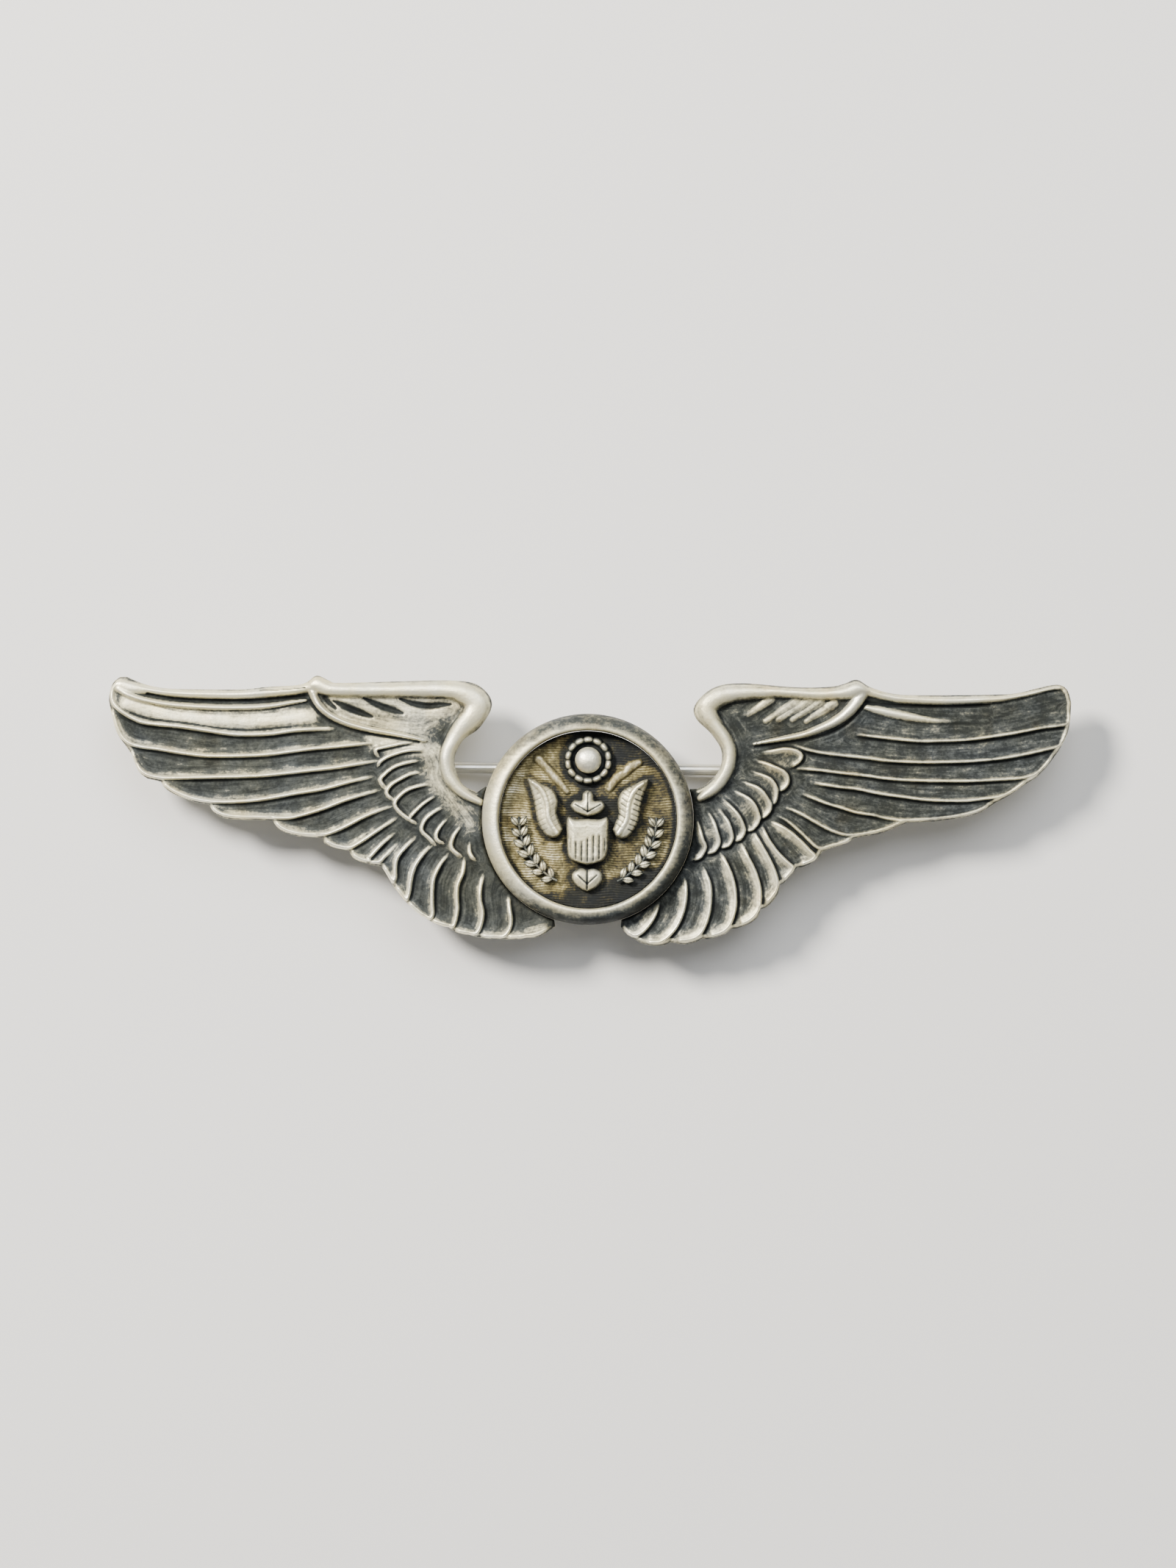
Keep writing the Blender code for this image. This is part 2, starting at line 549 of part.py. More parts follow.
def make_rotor(centre, steel):
    """The catch's turning sleeve: a C with a flange at each end and a thumb tab on one."""
    flange_from = CATCH_HALF + RUNNING
    flange_to = flange_from + ROTOR_FLANGE_THICK
    profile = [(ROTOR_BORE, -flange_to), (ROTOR_FLANGE, -flange_to), (ROTOR_FLANGE, -flange_from),
               (ROTOR_RADIUS, -flange_from), (ROTOR_RADIUS, flange_from), (ROTOR_FLANGE, flange_from),
               (ROTOR_FLANGE, flange_to), (ROTOR_BORE, flange_to)]
    mesh = bmesh.new()
    step = math.radians(360 - 2 * ROTOR_GAP_HALF) / ROTOR_STEPS
    loops = []
    for turn in range(ROTOR_STEPS + 1):
        angle = math.radians(ROTOR_GAP_HALF) + turn * step
        loops.append([mesh.verts.new((x, r * math.sin(angle), -r * math.cos(angle))) for r, x in profile])
    rim = []
    for one, two in zip(loops, loops[1:]):
        for index in range(len(profile)):
            following = (index + 1) % len(profile)
            wall = mesh.faces.new((one[index], one[following], two[following], two[index]))
            if profile[index][0] == profile[following][0] == ROTOR_FLANGE and profile[index][1] > 0:
                rim.append(wall)
    mesh.faces.new(loops[0])
    mesh.faces.new(loops[-1])
    bmesh.ops.recalc_face_normals(mesh, faces=mesh.faces)
    bmesh.ops.triangulate(mesh, faces=[face for face in mesh.faces if len(face.verts) > 4])

    # The thumb tab grows straight out of the last walls of one flange's rim.
    tab = rim[-THUMB_WALLS:]
    outward = sum((wall.normal for wall in tab), Vector()).normalized()
    grown = bmesh.ops.extrude_face_region(mesh, geom=tab)
    bmesh.ops.delete(mesh, geom=tab, context="FACES_ONLY")
    tip = [part for part in grown["geom"] if isinstance(part, bmesh.types.BMVert)]
    bmesh.ops.translate(mesh, verts=tip, vec=outward * (THUMB_LENGTH - ROTOR_FLANGE))
    bmesh.ops.translate(mesh, verts=mesh.verts, vec=centre)
    place("catch_rotor", mesh, steel, centre)


def main():
    clear_scene()
    silver = metal("oxidised_silver", (0.62, 0.6, 0.55), 0.38)
    ring_silver = metal("satin_silver", (0.66, 0.62, 0.53), 0.34)
    toned = metal("toned_silver", (0.3, 0.25, 0.16), 0.5)
    nickel = metal("nickel_findings", (0.5, 0.48, 0.42), 0.35)
    steel = metal("pin_steel", (0.56, 0.55, 0.52), 0.28)
    make_front(silver, ring_silver, toned)
    make_crest(silver)
    make_hinge(nickel, steel)
    make_pin(steel)
    make_catch(nickel, steel)


main()
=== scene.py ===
"""Looks of the aircrew wings badge: struck silver wings, ringed centre with a small crest,
and the pin, hinge and catch behind. Lengths in the tables below are millimetres."""

import math

import bpy
import numpy as np
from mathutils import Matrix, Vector


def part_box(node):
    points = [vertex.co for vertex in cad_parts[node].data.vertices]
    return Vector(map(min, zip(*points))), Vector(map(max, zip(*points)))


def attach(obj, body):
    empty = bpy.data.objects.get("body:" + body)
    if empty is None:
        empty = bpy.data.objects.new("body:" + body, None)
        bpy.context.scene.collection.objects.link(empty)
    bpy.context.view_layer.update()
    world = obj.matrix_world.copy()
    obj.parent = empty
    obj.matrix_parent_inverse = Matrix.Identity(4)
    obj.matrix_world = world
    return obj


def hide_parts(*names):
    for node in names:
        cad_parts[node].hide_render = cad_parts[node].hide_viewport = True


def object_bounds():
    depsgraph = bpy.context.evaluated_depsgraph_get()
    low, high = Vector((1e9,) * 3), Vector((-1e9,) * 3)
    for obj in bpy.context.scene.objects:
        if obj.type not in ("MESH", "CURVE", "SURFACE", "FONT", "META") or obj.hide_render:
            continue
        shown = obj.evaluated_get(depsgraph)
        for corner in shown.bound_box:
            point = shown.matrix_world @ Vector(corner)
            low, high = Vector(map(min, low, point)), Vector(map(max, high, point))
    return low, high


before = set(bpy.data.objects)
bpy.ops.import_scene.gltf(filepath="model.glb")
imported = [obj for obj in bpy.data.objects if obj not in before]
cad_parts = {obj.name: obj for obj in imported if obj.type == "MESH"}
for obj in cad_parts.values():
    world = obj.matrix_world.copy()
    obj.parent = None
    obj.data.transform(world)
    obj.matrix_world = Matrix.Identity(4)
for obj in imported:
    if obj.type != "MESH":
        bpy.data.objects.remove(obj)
CAD_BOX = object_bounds()
MM = 0.001

# Levels above the flat back.
EDGE_LEVEL = 0.72
FEATHER_FIELD = 1.12
RING_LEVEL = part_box("bezel_ring")[1].z / MM
DISC_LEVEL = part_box("medallion_disc")[1].z / MM
FIELD_LEVEL = DISC_LEVEL - 0.12
CREST_SEAT = DISC_LEVEL - 0.2

RING_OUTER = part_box("bezel_ring")[1].x / MM
DISC_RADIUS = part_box("medallion_disc")[1].x / MM

# The wings' grid and relief.
WING_PITCH = 0.07
LIP_RISE = 0.5
LIP_ROUND = 0.42
EDGE_ROUND = 0.3

# The crest and the sprays.
BOSS_Y = 4.67
FIELD_LINE_GAP = 0.2
FLUTE_GAP = 0.46
COLLAR_LOBES = 14
SPRAY_RADIUS = 5.42
SPRAY_LEAF_PAIRS = 7

# Floor, lights and camera: metres, with watts for a light's power, millimetres for the sensor
# and degrees for the roll.
KEY_LIGHT = {"spot": (-0.3, 0.24, 0.4), "size": 0.14, "power": 8.0, "colour": (1.0, 0.955, 0.885)}
TOP_LIGHT = {"spot": (0.1, 0.3, 0.5), "size": 0.45, "power": 3.0, "colour": (0.96, 0.98, 1.0)}
ROOM_COLOUR = (0.86, 0.88, 0.92, 1.0)
ROOM_LIGHT = 0.36
FLOOR_COLOUR = (0.74, 0.73, 0.71, 1.0)
FLOOR_SIZE = 1.2
FLOOR_GAP = 0.00002
CAMERA_HEIGHT = 0.42
FACE_HEIGHT = 0.0015
VIEW_HEIGHT = 0.12388
VIEW_MIDDLE = 0.00279
CAMERA_ROLL = 0.5
SENSOR = 24.0

# Crest outlines: halves on the +X side of the middle line, and one whole plume.
SHIELD_HALF = [
    (0.0, 0.05), (0.9, 0.0), (1.6, 0.12), (1.64, -1.3), (1.6, -2.5), (1.35, -3.15), (0.75, -3.45),
    (0.0, -3.6),
]
PALMETTE_HALF = [(0.0, 2.33), (0.4, 2.05), (0.5, 1.5), (1.1, 1.48), (1.38, 1.0), (0.9, 0.5), (0.0, 0.2)]
FINIAL_HALF = [(0.0, -4.02), (0.5, -3.86), (1.12, -4.2), (1.18, -4.8), (0.7, -5.4), (0.0, -5.72)]
PLUME = [
    (1.95, -0.8), (2.15, -0.3), (2.42, 0.5), (2.35, 1.5), (2.75, 2.3), (3.6, 2.75), (4.75, 3.2), (4.4, 1.9),
    (4.15, 0.7), (3.9, -0.4), (3.2, -1.35), (2.4, -1.45), (1.95, -0.8),
]
PLUME_SPINE = [(2.4, -1.1, 0.2), (3.05, 0.0, 0.2), (3.2, 1.2, 0.2), (3.6, 2.2, 0.2), (4.3, 2.9, 0.2)]
# Two thin ribbons in the field, either side of the collar.
RIBBONS = [
    [(-3.95, 4.75, 0.42), (-3.3, 4.1, 0.34), (-2.5, 3.2, 0.38), (-1.65, 2.2, 0.26)],
    [(4.0, 4.5, 0.3), (3.4, 4.25, 0.42), (2.9, 3.7, 0.34), (2.25, 3.3, 0.42), (1.7, 2.4, 0.26)],
]

# How bright the ring is painted, round from the right: degrees, on its crest, on its outer flank.
# Part wear, part painted light: the crest is rubbed brighter than the oxidised flank. Round the left, where
# the key light falls, the ring is painted lighter, and at the top, right and bottom it is painted darker,
# with painted shade on the bottom flank.
RING_WEAR_AND_PAINTED_LIGHT = [
    (0, 0.47, 0.42), (40, 0.46, 0.42), (70, 0.4, 0.36), (95, 0.4, 0.35), (125, 0.5, 0.44), (150, 0.66, 0.6),
    (190, 0.8, 0.76), (225, 0.7, 0.54), (250, 0.52, 0.3), (280, 0.42, 0.23), (320, 0.43, 0.26),
    (360, 0.47, 0.42),
]

LEFT_TOP = [
    (-36.6, 10.97), (-35.4, 10.46), (-34.1, 10.15), (-32.4, 10.03), (-27.7, 10.03), (-25.7, 10.24),
    (-23.2, 10.41), (-22.3, 10.67), (-21.54, 11.2), (-20.5, 10.77), (-19.7, 10.62), (-15.0, 10.79),
    (-11.0, 10.89), (-8.8, 10.56), (-7.65, 9.1), (-8.6, 7.2), (-9.95, 6.15), (-10.6, 4.6), (-10.05, 2.8),
    (-8.8, 2.05),
]
LEFT_FEATHER_ENDS = [
    [(-2.5, -8.5), (-3.1, -8.95), (-3.9, -9.35), (-4.75, -9.4)],
    [(-5.2, -9.52), (-6.3, -9.57), (-7.2, -9.5)],
    [(-7.5, -9.55), (-8.6, -9.42), (-9.35, -9.2)],
    [(-9.6, -9.22), (-10.3, -9.05), (-10.95, -8.62)],
    [(-11.3, -8.6), (-12.2, -8.28), (-12.9, -7.85)],
    [(-13.1, -7.78), (-13.8, -7.2), (-14.6, -6.4), (-15.0, -5.85)],
    [(-15.2, -5.65), (-15.65, -4.9), (-16.1, -4.15)],
    [(-16.3, -3.9), (-17.1, -3.74), (-18.0, -3.5), (-18.6, -3.16), (-18.85, -2.65)],
    [(-20.0, -2.44), (-20.84, -2.08), (-20.95, -1.65)],
    [(-23.0, -1.54), (-24.0, -1.23), (-24.6, -0.82), (-24.95, -0.3)],
    [(-27.3, -0.28), (-28.65, -0.2), (-29.5, 0.2), (-30.0, 0.9)],
    [(-31.1, 1.08), (-32.85, 1.74), (-33.6, 2.3), (-33.8, 2.67)],
    [(-34.9, 2.92), (-35.6, 3.5), (-36.2, 4.9), (-36.4, 5.2)],
    [(-37.05, 6.05), (-37.46, 6.87), (-37.92, 8.7), (-37.97, 9.44), (-37.67, 10.46), (-37.1, 10.95)],
]
RIGHT_TOP = [
    (38.2, 9.56), (37.9, 10.54), (37.3, 10.96), (36.4, 10.9), (35.2, 10.6), (34.0, 10.3), (32.2, 10.15),
    (26.1, 10.05), (24.0, 10.17), (22.3, 10.65), (21.2, 11.24), (20.2, 10.9), (19.0, 10.65), (16.3, 10.6),
    (12.0, 10.87), (9.8, 10.46), (8.4, 9.1), (8.55, 8.0), (9.7, 6.87), (10.55, 5.5), (10.4, 4.0),
    (9.4, 2.87), (8.7, 2.5),
]
RIGHT_FEATHER_ENDS = [
    [(2.7, -8.5), (3.2, -9.1), (4.2, -9.7)],
    [(4.45, -9.8), (5.3, -9.98), (6.2, -9.9), (6.6, -9.68)],
    [(6.9, -9.72), (7.7, -9.85), (8.6, -9.67), (9.2, -9.35)],
    [(9.5, -9.42), (10.2, -9.27), (10.9, -9.04), (11.4, -8.6)],
    [(11.85, -8.55), (12.8, -8.2), (13.5, -7.65), (13.75, -7.0)],
    [(14.1, -6.9), (14.5, -6.6), (15.1, -5.8), (15.25, -5.1)],
    [(15.55, -4.95), (15.85, -4.64), (16.36, -4.03), (16.6, -3.7)],
    [(17.0, -3.66), (17.6, -3.4), (18.3, -2.9), (18.55, -2.4)],
    [(19.3, -2.12), (20.4, -1.77), (21.1, -1.32)],
    [(22.0, -1.15), (23.1, -0.95), (24.4, -0.45), (25.3, -0.05)],
    [(27.4, 0.05), (29.8, 0.4), (31.2, 0.85)],
    [(32.3, 1.6), (33.4, 2.2), (34.6, 3.05), (35.5, 3.6)],
    [(36.3, 4.45), (37.2, 5.67)],
    [(37.66, 6.5), (38.0, 7.37), (38.15, 8.35)],
]

# Feather lips: each runs from round the feather's end along its proud edge to the root.
# The feather's body slopes away on the left of the line, and the right side drops.
LEFT_LIPS = [
    [(-37.2, 10.6), (-37.7, 10.0), (-37.75, 9.3), (-37.55, 8.75), (-37.0, 8.2), (-36.0, 7.6), (-34.9, 7.25),
     (-32.0, 6.97), (-28.7, 6.5), (-27.0, 6.41), (-25.0, 6.51), (-23.0, 6.8), (-20.2, 6.95)],
    [(-37.75, 8.2), (-37.4, 7.1), (-36.95, 6.2), (-36.3, 5.68), (-35.4, 5.4), (-34.0, 5.23), (-32.0, 4.92),
     (-30.0, 4.72), (-27.0, 4.77), (-25.0, 4.92), (-22.0, 5.33), (-19.9, 5.54), (-16.8, 5.9)],
    [(-36.15, 4.9), (-35.9, 4.1), (-35.35, 3.45), (-34.6, 3.1), (-33.5, 2.95), (-32.0, 2.97), (-30.0, 3.03),
     (-27.0, 3.13), (-25.0, 3.28), (-22.0, 3.64), (-19.9, 3.9), (-16.6, 4.46)],
    [(-33.6, 2.5), (-32.8, 1.95), (-31.8, 1.5), (-30.8, 1.25), (-29.6, 1.1), (-28.0, 1.12), (-26.0, 1.29),
     (-23.0, 1.83), (-21.0, 2.18), (-19.0, 2.72), (-17.1, 3.2)],
    [(-29.8, 0.7), (-29.3, 0.3), (-28.5, 0.02), (-27.3, -0.08), (-26.0, -0.08), (-24.9, -0.12),
     (-23.7, -0.12), (-22.8, 0.05), (-21.0, 0.6), (-19.0, 1.38), (-16.5, 2.14)],
    [(-24.75, -0.45), (-24.4, -0.8), (-23.8, -1.12), (-22.8, -1.36), (-21.9, -1.45), (-20.8, -1.4),
     (-20.0, -1.15), (-19.0, -0.69), (-17.7, 0.0), (-16.5, 0.52), (-15.5, 0.9)],
    [(-20.75, -1.85), (-20.1, -2.25), (-19.3, -2.45), (-18.7, -2.4), (-18.2, -2.15), (-17.4, -1.63),
     (-16.5, -1.0), (-15.1, -0.05)],
    [(-18.6, -2.9), (-18.1, -3.28), (-17.2, -3.52), (-16.45, -3.55), (-16.1, -3.2), (-15.7, -2.8),
     (-15.0, -2.0)],
    [(-17.3, -3.3), (-16.9, -2.85), (-16.2, -2.1), (-15.3, -1.3)],
    [(-16.1, -3.95), (-15.8, -4.5), (-15.35, -5.1), (-15.15, -4.7), (-15.15, -4.0), (-15.0, -3.2),
     (-14.4, -2.4), (-13.6, -1.6)],
    [(-15.1, -5.5), (-14.75, -6.0), (-14.3, -6.55), (-14.1, -6.2), (-14.0, -5.7), (-13.9, -4.9),
     (-13.6, -3.85), (-12.9, -2.8), (-12.3, -2.2)],
    [(-14.1, -6.8), (-13.6, -7.3), (-13.0, -7.75), (-12.4, -8.0), (-12.15, -7.6), (-12.2, -6.85),
     (-12.2, -5.8), (-12.1, -4.8), (-11.6, -3.7), (-11.0, -2.9)],
    [(-12.2, -8.2), (-11.4, -8.45), (-10.7, -8.65), (-10.4, -8.3), (-10.2, -7.2), (-10.25, -6.3),
     (-10.2, -5.3), (-9.8, -4.3), (-9.7, -3.15)],
    [(-10.3, -8.9), (-9.6, -9.08), (-8.8, -9.15), (-8.4, -8.6), (-8.2, -7.5), (-8.4, -6.5), (-8.4, -5.5),
     (-8.2, -4.5)],
    [(-8.3, -9.3), (-7.4, -9.4), (-6.6, -9.35), (-6.1, -8.8), (-5.95, -8.0), (-6.1, -7.0), (-6.2, -6.1)],
    [(-6.2, -9.4), (-5.2, -9.35), (-4.3, -9.25), (-3.5, -8.95), (-2.9, -8.5)],
]
RIGHT_LONG_LIPS = [
    [(38.1, 8.6), (37.9, 7.86), (35.8, 7.5), (34.0, 7.13), (32.2, 6.82), (30.0, 6.52), (27.9, 6.4),
     (26.1, 6.37), (23.65, 6.58), (21.0, 6.88)],
    [(37.95, 7.1), (37.4, 6.2), (35.8, 5.7), (34.0, 5.3), (32.2, 5.0), (30.0, 4.8), (28.0, 4.73),
     (26.1, 4.7), (23.65, 4.8), (22.0, 5.0), (18.3, 5.4), (16.1, 5.95)],
    [(36.6, 5.1), (35.6, 4.0), (34.6, 3.6), (33.4, 3.45), (30.0, 3.25), (26.1, 3.25), (23.65, 3.38),
     (22.0, 3.6), (20.0, 3.8), (18.3, 4.0), (16.3, 4.15)],
    [(34.6, 3.2), (33.6, 2.5), (32.6, 2.05), (31.6, 1.9), (30.0, 1.7), (28.5, 1.67), (26.7, 1.74),
     (24.9, 1.95), (23.0, 2.2), (21.2, 2.56), (20.0, 2.67), (17.7, 3.03)],
    [(31.6, 1.25), (30.4, 0.75), (29.0, 0.45), (27.4, 0.25), (25.6, 0.1), (24.0, 0.18), (22.5, 0.5),
     (21.2, 0.7), (20.0, 1.05), (18.8, 1.4), (16.7, 2.2)],
    [(25.0, 0.0), (23.6, -0.55), (22.2, -0.92), (21.0, -1.1), (20.2, -1.05), (19.4, -0.8), (18.8, -0.54),
     (17.8, 0.0), (17.1, 0.4), (16.3, 0.8), (15.4, 1.1)],
    [(20.9, -1.5), (20.0, -1.8), (19.2, -2.0), (18.5, -2.2), (18.0, -2.0), (17.3, -1.36), (16.5, -0.64),
     (15.7, 0.0), (14.9, 0.4)],
]
# These run from round the feather's end up its right side, body on the left.
RIGHT_SHORT_LIPS = [
    [(16.9, -3.45), (17.6, -3.2), (18.1, -2.85), (17.5, -2.2), (16.6, -1.3), (15.6, -0.55), (14.5, 0.0)],
    [(15.6, -4.7), (16.0, -4.2), (16.35, -3.7), (15.75, -3.15), (15.1, -2.5), (14.4, -1.56), (13.7, -0.2)],
    [(14.2, -6.5), (14.8, -5.8), (15.1, -5.1), (14.9, -4.1), (14.4, -3.0), (13.7, -1.8), (13.0, -0.6)],
    [(12.2, -8.2), (12.9, -7.85), (13.5, -7.2), (13.72, -6.6), (13.7, -5.3), (13.3, -4.0), (12.7, -2.8),
     (12.2, -1.8)],
    [(9.8, -9.15), (10.6, -8.9), (11.2, -8.45), (11.6, -7.6), (11.8, -6.5), (11.65, -5.0), (11.2, -3.7),
     (10.6, -2.6)],
    [(7.2, -9.55), (8.2, -9.45), (8.9, -9.1), (9.4, -8.3), (9.75, -7.0), (9.8, -5.5), (9.6, -4.6),
     (9.2, -3.7)],
    [(4.8, -9.7), (5.7, -9.7), (6.4, -9.3), (7.1, -8.5), (7.6, -7.4), (7.85, -6.2), (7.85, -5.2),
     (7.7, -4.5)],
    [(3.1, -8.9), (3.7, -9.2), (4.3, -9.0), (4.9, -8.4), (5.45, -7.5), (5.75, -6.5)],
]
LEFT_COVERTS = [
    [(-16.6, 4.95), (-16.75, 5.3), (-16.3, 5.45), (-15.0, 5.75), (-13.6, 6.0)],
    [(-16.55, 4.1), (-16.4, 4.35), (-15.9, 4.7), (-15.0, 5.05), (-14.0, 5.28), (-12.9, 5.3)],
    [(-16.0, 2.4), (-16.35, 2.95), (-16.1, 3.3), (-15.6, 3.75), (-14.8, 4.15), (-13.3, 4.5)],
    [(-15.4, 1.5), (-15.85, 1.95), (-15.5, 2.55), (-14.8, 3.0), (-14.0, 3.4), (-13.2, 3.6)],
    [(-13.6, -0.35), (-14.3, 0.1), (-14.9, 0.6), (-15.2, 1.1), (-14.9, 1.6), (-14.3, 2.1), (-13.5, 2.4),
     (-12.5, 2.65)],
    [(-14.0, 0.0), (-13.6, 0.45), (-13.1, 0.95), (-12.5, 1.4), (-11.9, 1.75)],
    [(-12.05, -2.0), (-12.5, -1.5), (-13.05, -0.95), (-12.8, -0.2), (-12.2, 0.35), (-11.4, 0.85)],
    [(-11.45, -1.9), (-11.8, -1.7), (-11.9, -1.3), (-11.6, -0.7), (-11.1, -0.1)],
    [(-10.0, -2.9), (-10.5, -2.55), (-10.7, -2.15), (-10.5, -1.4), (-9.95, -0.6)],
    [(-8.9, -3.2), (-9.25, -2.7), (-9.3, -1.9)],
]
RIGHT_COVERTS = [
    [(16.2, 4.3), (16.75, 4.7), (16.95, 5.2), (16.5, 5.6), (15.6, 5.75), (14.6, 5.6), (13.6, 5.4)],
    [(15.1, 2.35), (15.5, 2.5), (15.85, 2.95), (15.85, 3.5), (15.5, 3.95), (14.9, 4.25), (14.0, 4.6),
     (13.2, 4.8)],
    [(14.5, 1.15), (14.85, 1.5), (15.0, 2.2), (14.85, 2.85), (14.35, 3.42), (13.5, 3.75), (12.9, 3.9)],
    [(13.6, 0.1), (14.1, 0.35), (14.5, 0.9), (14.42, 1.45), (14.0, 2.15), (13.45, 2.65), (12.7, 2.95),
     (12.2, 3.1)],
    [(12.5, -0.85), (13.05, -0.75), (13.55, -0.15), (13.58, 0.4), (13.3, 1.15), (12.8, 1.75), (12.0, 2.2),
     (11.5, 2.4)],
    [(11.65, -1.6), (12.1, -1.5), (12.45, -0.85), (12.22, 0.0), (11.72, 0.75), (11.05, 1.4), (10.6, 1.7)],
    [(10.6, -2.15), (11.15, -2.05), (11.5, -1.4), (11.32, -0.5), (10.93, 0.25), (10.3, 1.0)],
    [(9.5, -2.6), (10.05, -2.5), (10.48, -1.75), (10.25, -0.8), (9.95, 0.0), (9.5, 0.7)],
    [(8.5, -3.15), (9.0, -2.95), (9.4, -2.1), (9.2, -1.6), (8.95, -0.8), (8.65, 0.1)],
]
# Rounded rims, as (x, y, half width).
LEFT_ARM = [
    (-22.05, 10.2, 0.35), (-21.5, 10.5, 0.72), (-20.4, 10.15, 0.62), (-18.0, 10.1, 0.6),
    (-15.0, 10.15, 0.64), (-12.0, 10.2, 0.72), (-10.4, 10.1, 0.82), (-9.2, 9.55, 1.0), (-8.75, 8.9, 1.1),
    (-9.1, 8.1, 1.0), (-9.9, 7.2, 0.85), (-10.6, 6.2, 0.72), (-11.1, 5.2, 0.62), (-11.15, 4.2, 0.58),
    (-10.85, 3.2, 0.55), (-10.3, 2.45, 0.5), (-9.6, 1.85, 0.42), (-8.95, 1.5, 0.34), (-8.4, 1.25, 0.25),
]
RIGHT_ARM = [
    (22.0, 10.35, 0.3), (21.2, 10.5, 0.68), (20.2, 10.2, 0.6), (18.0, 10.05, 0.5), (15.0, 10.2, 0.5),
    (12.4, 10.15, 0.68), (11.0, 10.0, 0.8), (9.9, 9.6, 0.95), (9.35, 9.0, 0.95), (9.5, 8.2, 0.85),
    (10.15, 7.3, 0.68), (10.8, 6.4, 0.6), (11.15, 5.4, 0.6), (11.05, 4.4, 0.6), (10.6, 3.4, 0.6),
    (10.0, 2.6, 0.55), (9.3, 2.05, 0.45), (8.9, 1.75, 0.3),
]
LEFT_PANEL_RIDGE = [
    (-21.85, 9.9, 0.34), (-21.5, 9.1, 0.3), (-20.9, 8.4, 0.27), (-20.1, 7.85, 0.26), (-18.9, 7.35, 0.26),
    (-17.3, 6.95, 0.25), (-15.8, 6.7, 0.22), (-14.3, 6.42, 0.2), (-12.9, 6.1, 0.12),
]
RIGHT_PANEL_RIDGE = [
    (21.6, 10.1, 0.5), (21.0, 9.2, 0.5), (20.2, 8.4, 0.45), (19.3, 7.8, 0.4), (18.2, 7.3, 0.34),
    (17.0, 6.85, 0.28), (15.3, 6.5, 0.22), (14.0, 6.25, 0.16), (13.1, 6.07, 0.1),
]
LEFT_LEADING = [
    [(-37.0, 10.3, 0.55), (-36.0, 10.1, 0.5), (-34.5, 9.9, 0.36), (-32.4, 9.68, 0.36), (-30.0, 9.62, 0.38),
     (-27.5, 9.62, 0.38), (-25.0, 9.85, 0.42), (-23.2, 10.06, 0.42), (-22.2, 10.25, 0.42)],
    [(-37.2, 10.0, 0.3), (-36.3, 9.52, 0.26), (-34.9, 9.1, 0.24), (-33.0, 8.8, 0.24), (-30.0, 8.62, 0.25),
     (-27.0, 8.62, 0.25), (-25.0, 8.78, 0.22), (-23.6, 9.02, 0.18), (-22.4, 9.2, 0.12)],
]
LEFT_FACE_LINES = [
    [(-36.2, 8.1), (-34.8, 7.66), (-32.0, 7.35), (-28.7, 6.9), (-26.5, 6.82), (-23.5, 7.1)],
    [(-35.0, 9.0), (-33.0, 8.35), (-30.0, 8.1), (-27.0, 8.1), (-24.5, 8.3)],
]
LEFT_LEADING_CUTS = [
    [(-34.9, 9.62), (-33.0, 9.3), (-30.0, 9.14), (-27.0, 9.14), (-25.0, 9.28), (-22.3, 9.55)],
    [(-26.0, 9.95), (-24.0, 10.05), (-22.4, 10.2)],
]
LEFT_PANEL_CUT = [
    (-22.1, 9.2), (-21.3, 8.2), (-20.3, 7.5), (-19.0, 7.0), (-17.3, 6.6), (-15.0, 6.25), (-13.4, 6.0),
]
LEFT_PANEL_NICK = [(-20.9, 9.45, 0.22), (-20.45, 9.0, 0.28), (-20.0, 8.6, 0.16)]
LEFT_SLOTS = [
    [(-20.2, 9.2, 0.1), (-19.4, 8.82, 0.36), (-18.4, 8.42, 0.42), (-17.6, 8.12, 0.32), (-17.1, 7.95, 0.12)],
    [(-17.8, 9.42, 0.1), (-17.1, 9.1, 0.28), (-16.2, 8.72, 0.4), (-15.3, 8.45, 0.36), (-14.7, 8.25, 0.14)],
    [(-14.9, 9.38, 0.1), (-14.1, 9.08, 0.28), (-13.2, 8.88, 0.36), (-12.3, 8.86, 0.36), (-11.5, 8.95, 0.26),
     (-10.9, 9.0, 0.1)],
]
RIGHT_LEADING = [
    [(37.3, 10.72, 0.12), (36.3, 10.6, 0.16), (35.0, 10.28, 0.2), (33.5, 9.98, 0.24), (32.0, 9.78, 0.3),
     (28.0, 9.62, 0.36), (25.0, 9.76, 0.42), (23.3, 10.02, 0.42), (22.2, 10.3, 0.42)],
    [(21.9, 9.05, 0.2), (23.0, 8.8, 0.36), (24.5, 8.5, 0.4), (26.0, 8.22, 0.34), (27.9, 8.0, 0.22),
     (31.5, 8.0, 0.12)],
]
RIGHT_LEADING_CUT = [(21.5, 9.5), (23.0, 9.3), (25.0, 9.18), (28.5, 9.15), (31.7, 9.3)]
RIGHT_PANEL_CUT = [
    (21.9, 9.3), (21.2, 8.5), (20.4, 7.7), (19.4, 7.1), (18.3, 6.7), (17.0, 6.35), (15.3, 6.1), (13.2, 5.85),
]
RIGHT_PANEL_RIBS = [
    ((12.6, 8.4), (14.4, 9.6)), ((14.0, 7.9), (16.4, 9.5)), ((15.0, 8.0), (17.5, 9.55)),
    ((16.1, 8.0), (18.3, 9.45)), ((17.2, 7.9), (19.4, 9.3)),
]


# ---------------------------------------------------------------- striking dies

def ramp(value):
    """Smooth step from 0 to 1."""
    held = np.clip(value, 0.0, 1.0)
    return held * held * (3.0 - 2.0 * held)


def dome(value):
    """1 at 0, falling smoothly to 0 at 1 on both sides."""
    return np.cos(np.clip(np.abs(value), 0.0, 1.0) * math.pi / 2) ** 2


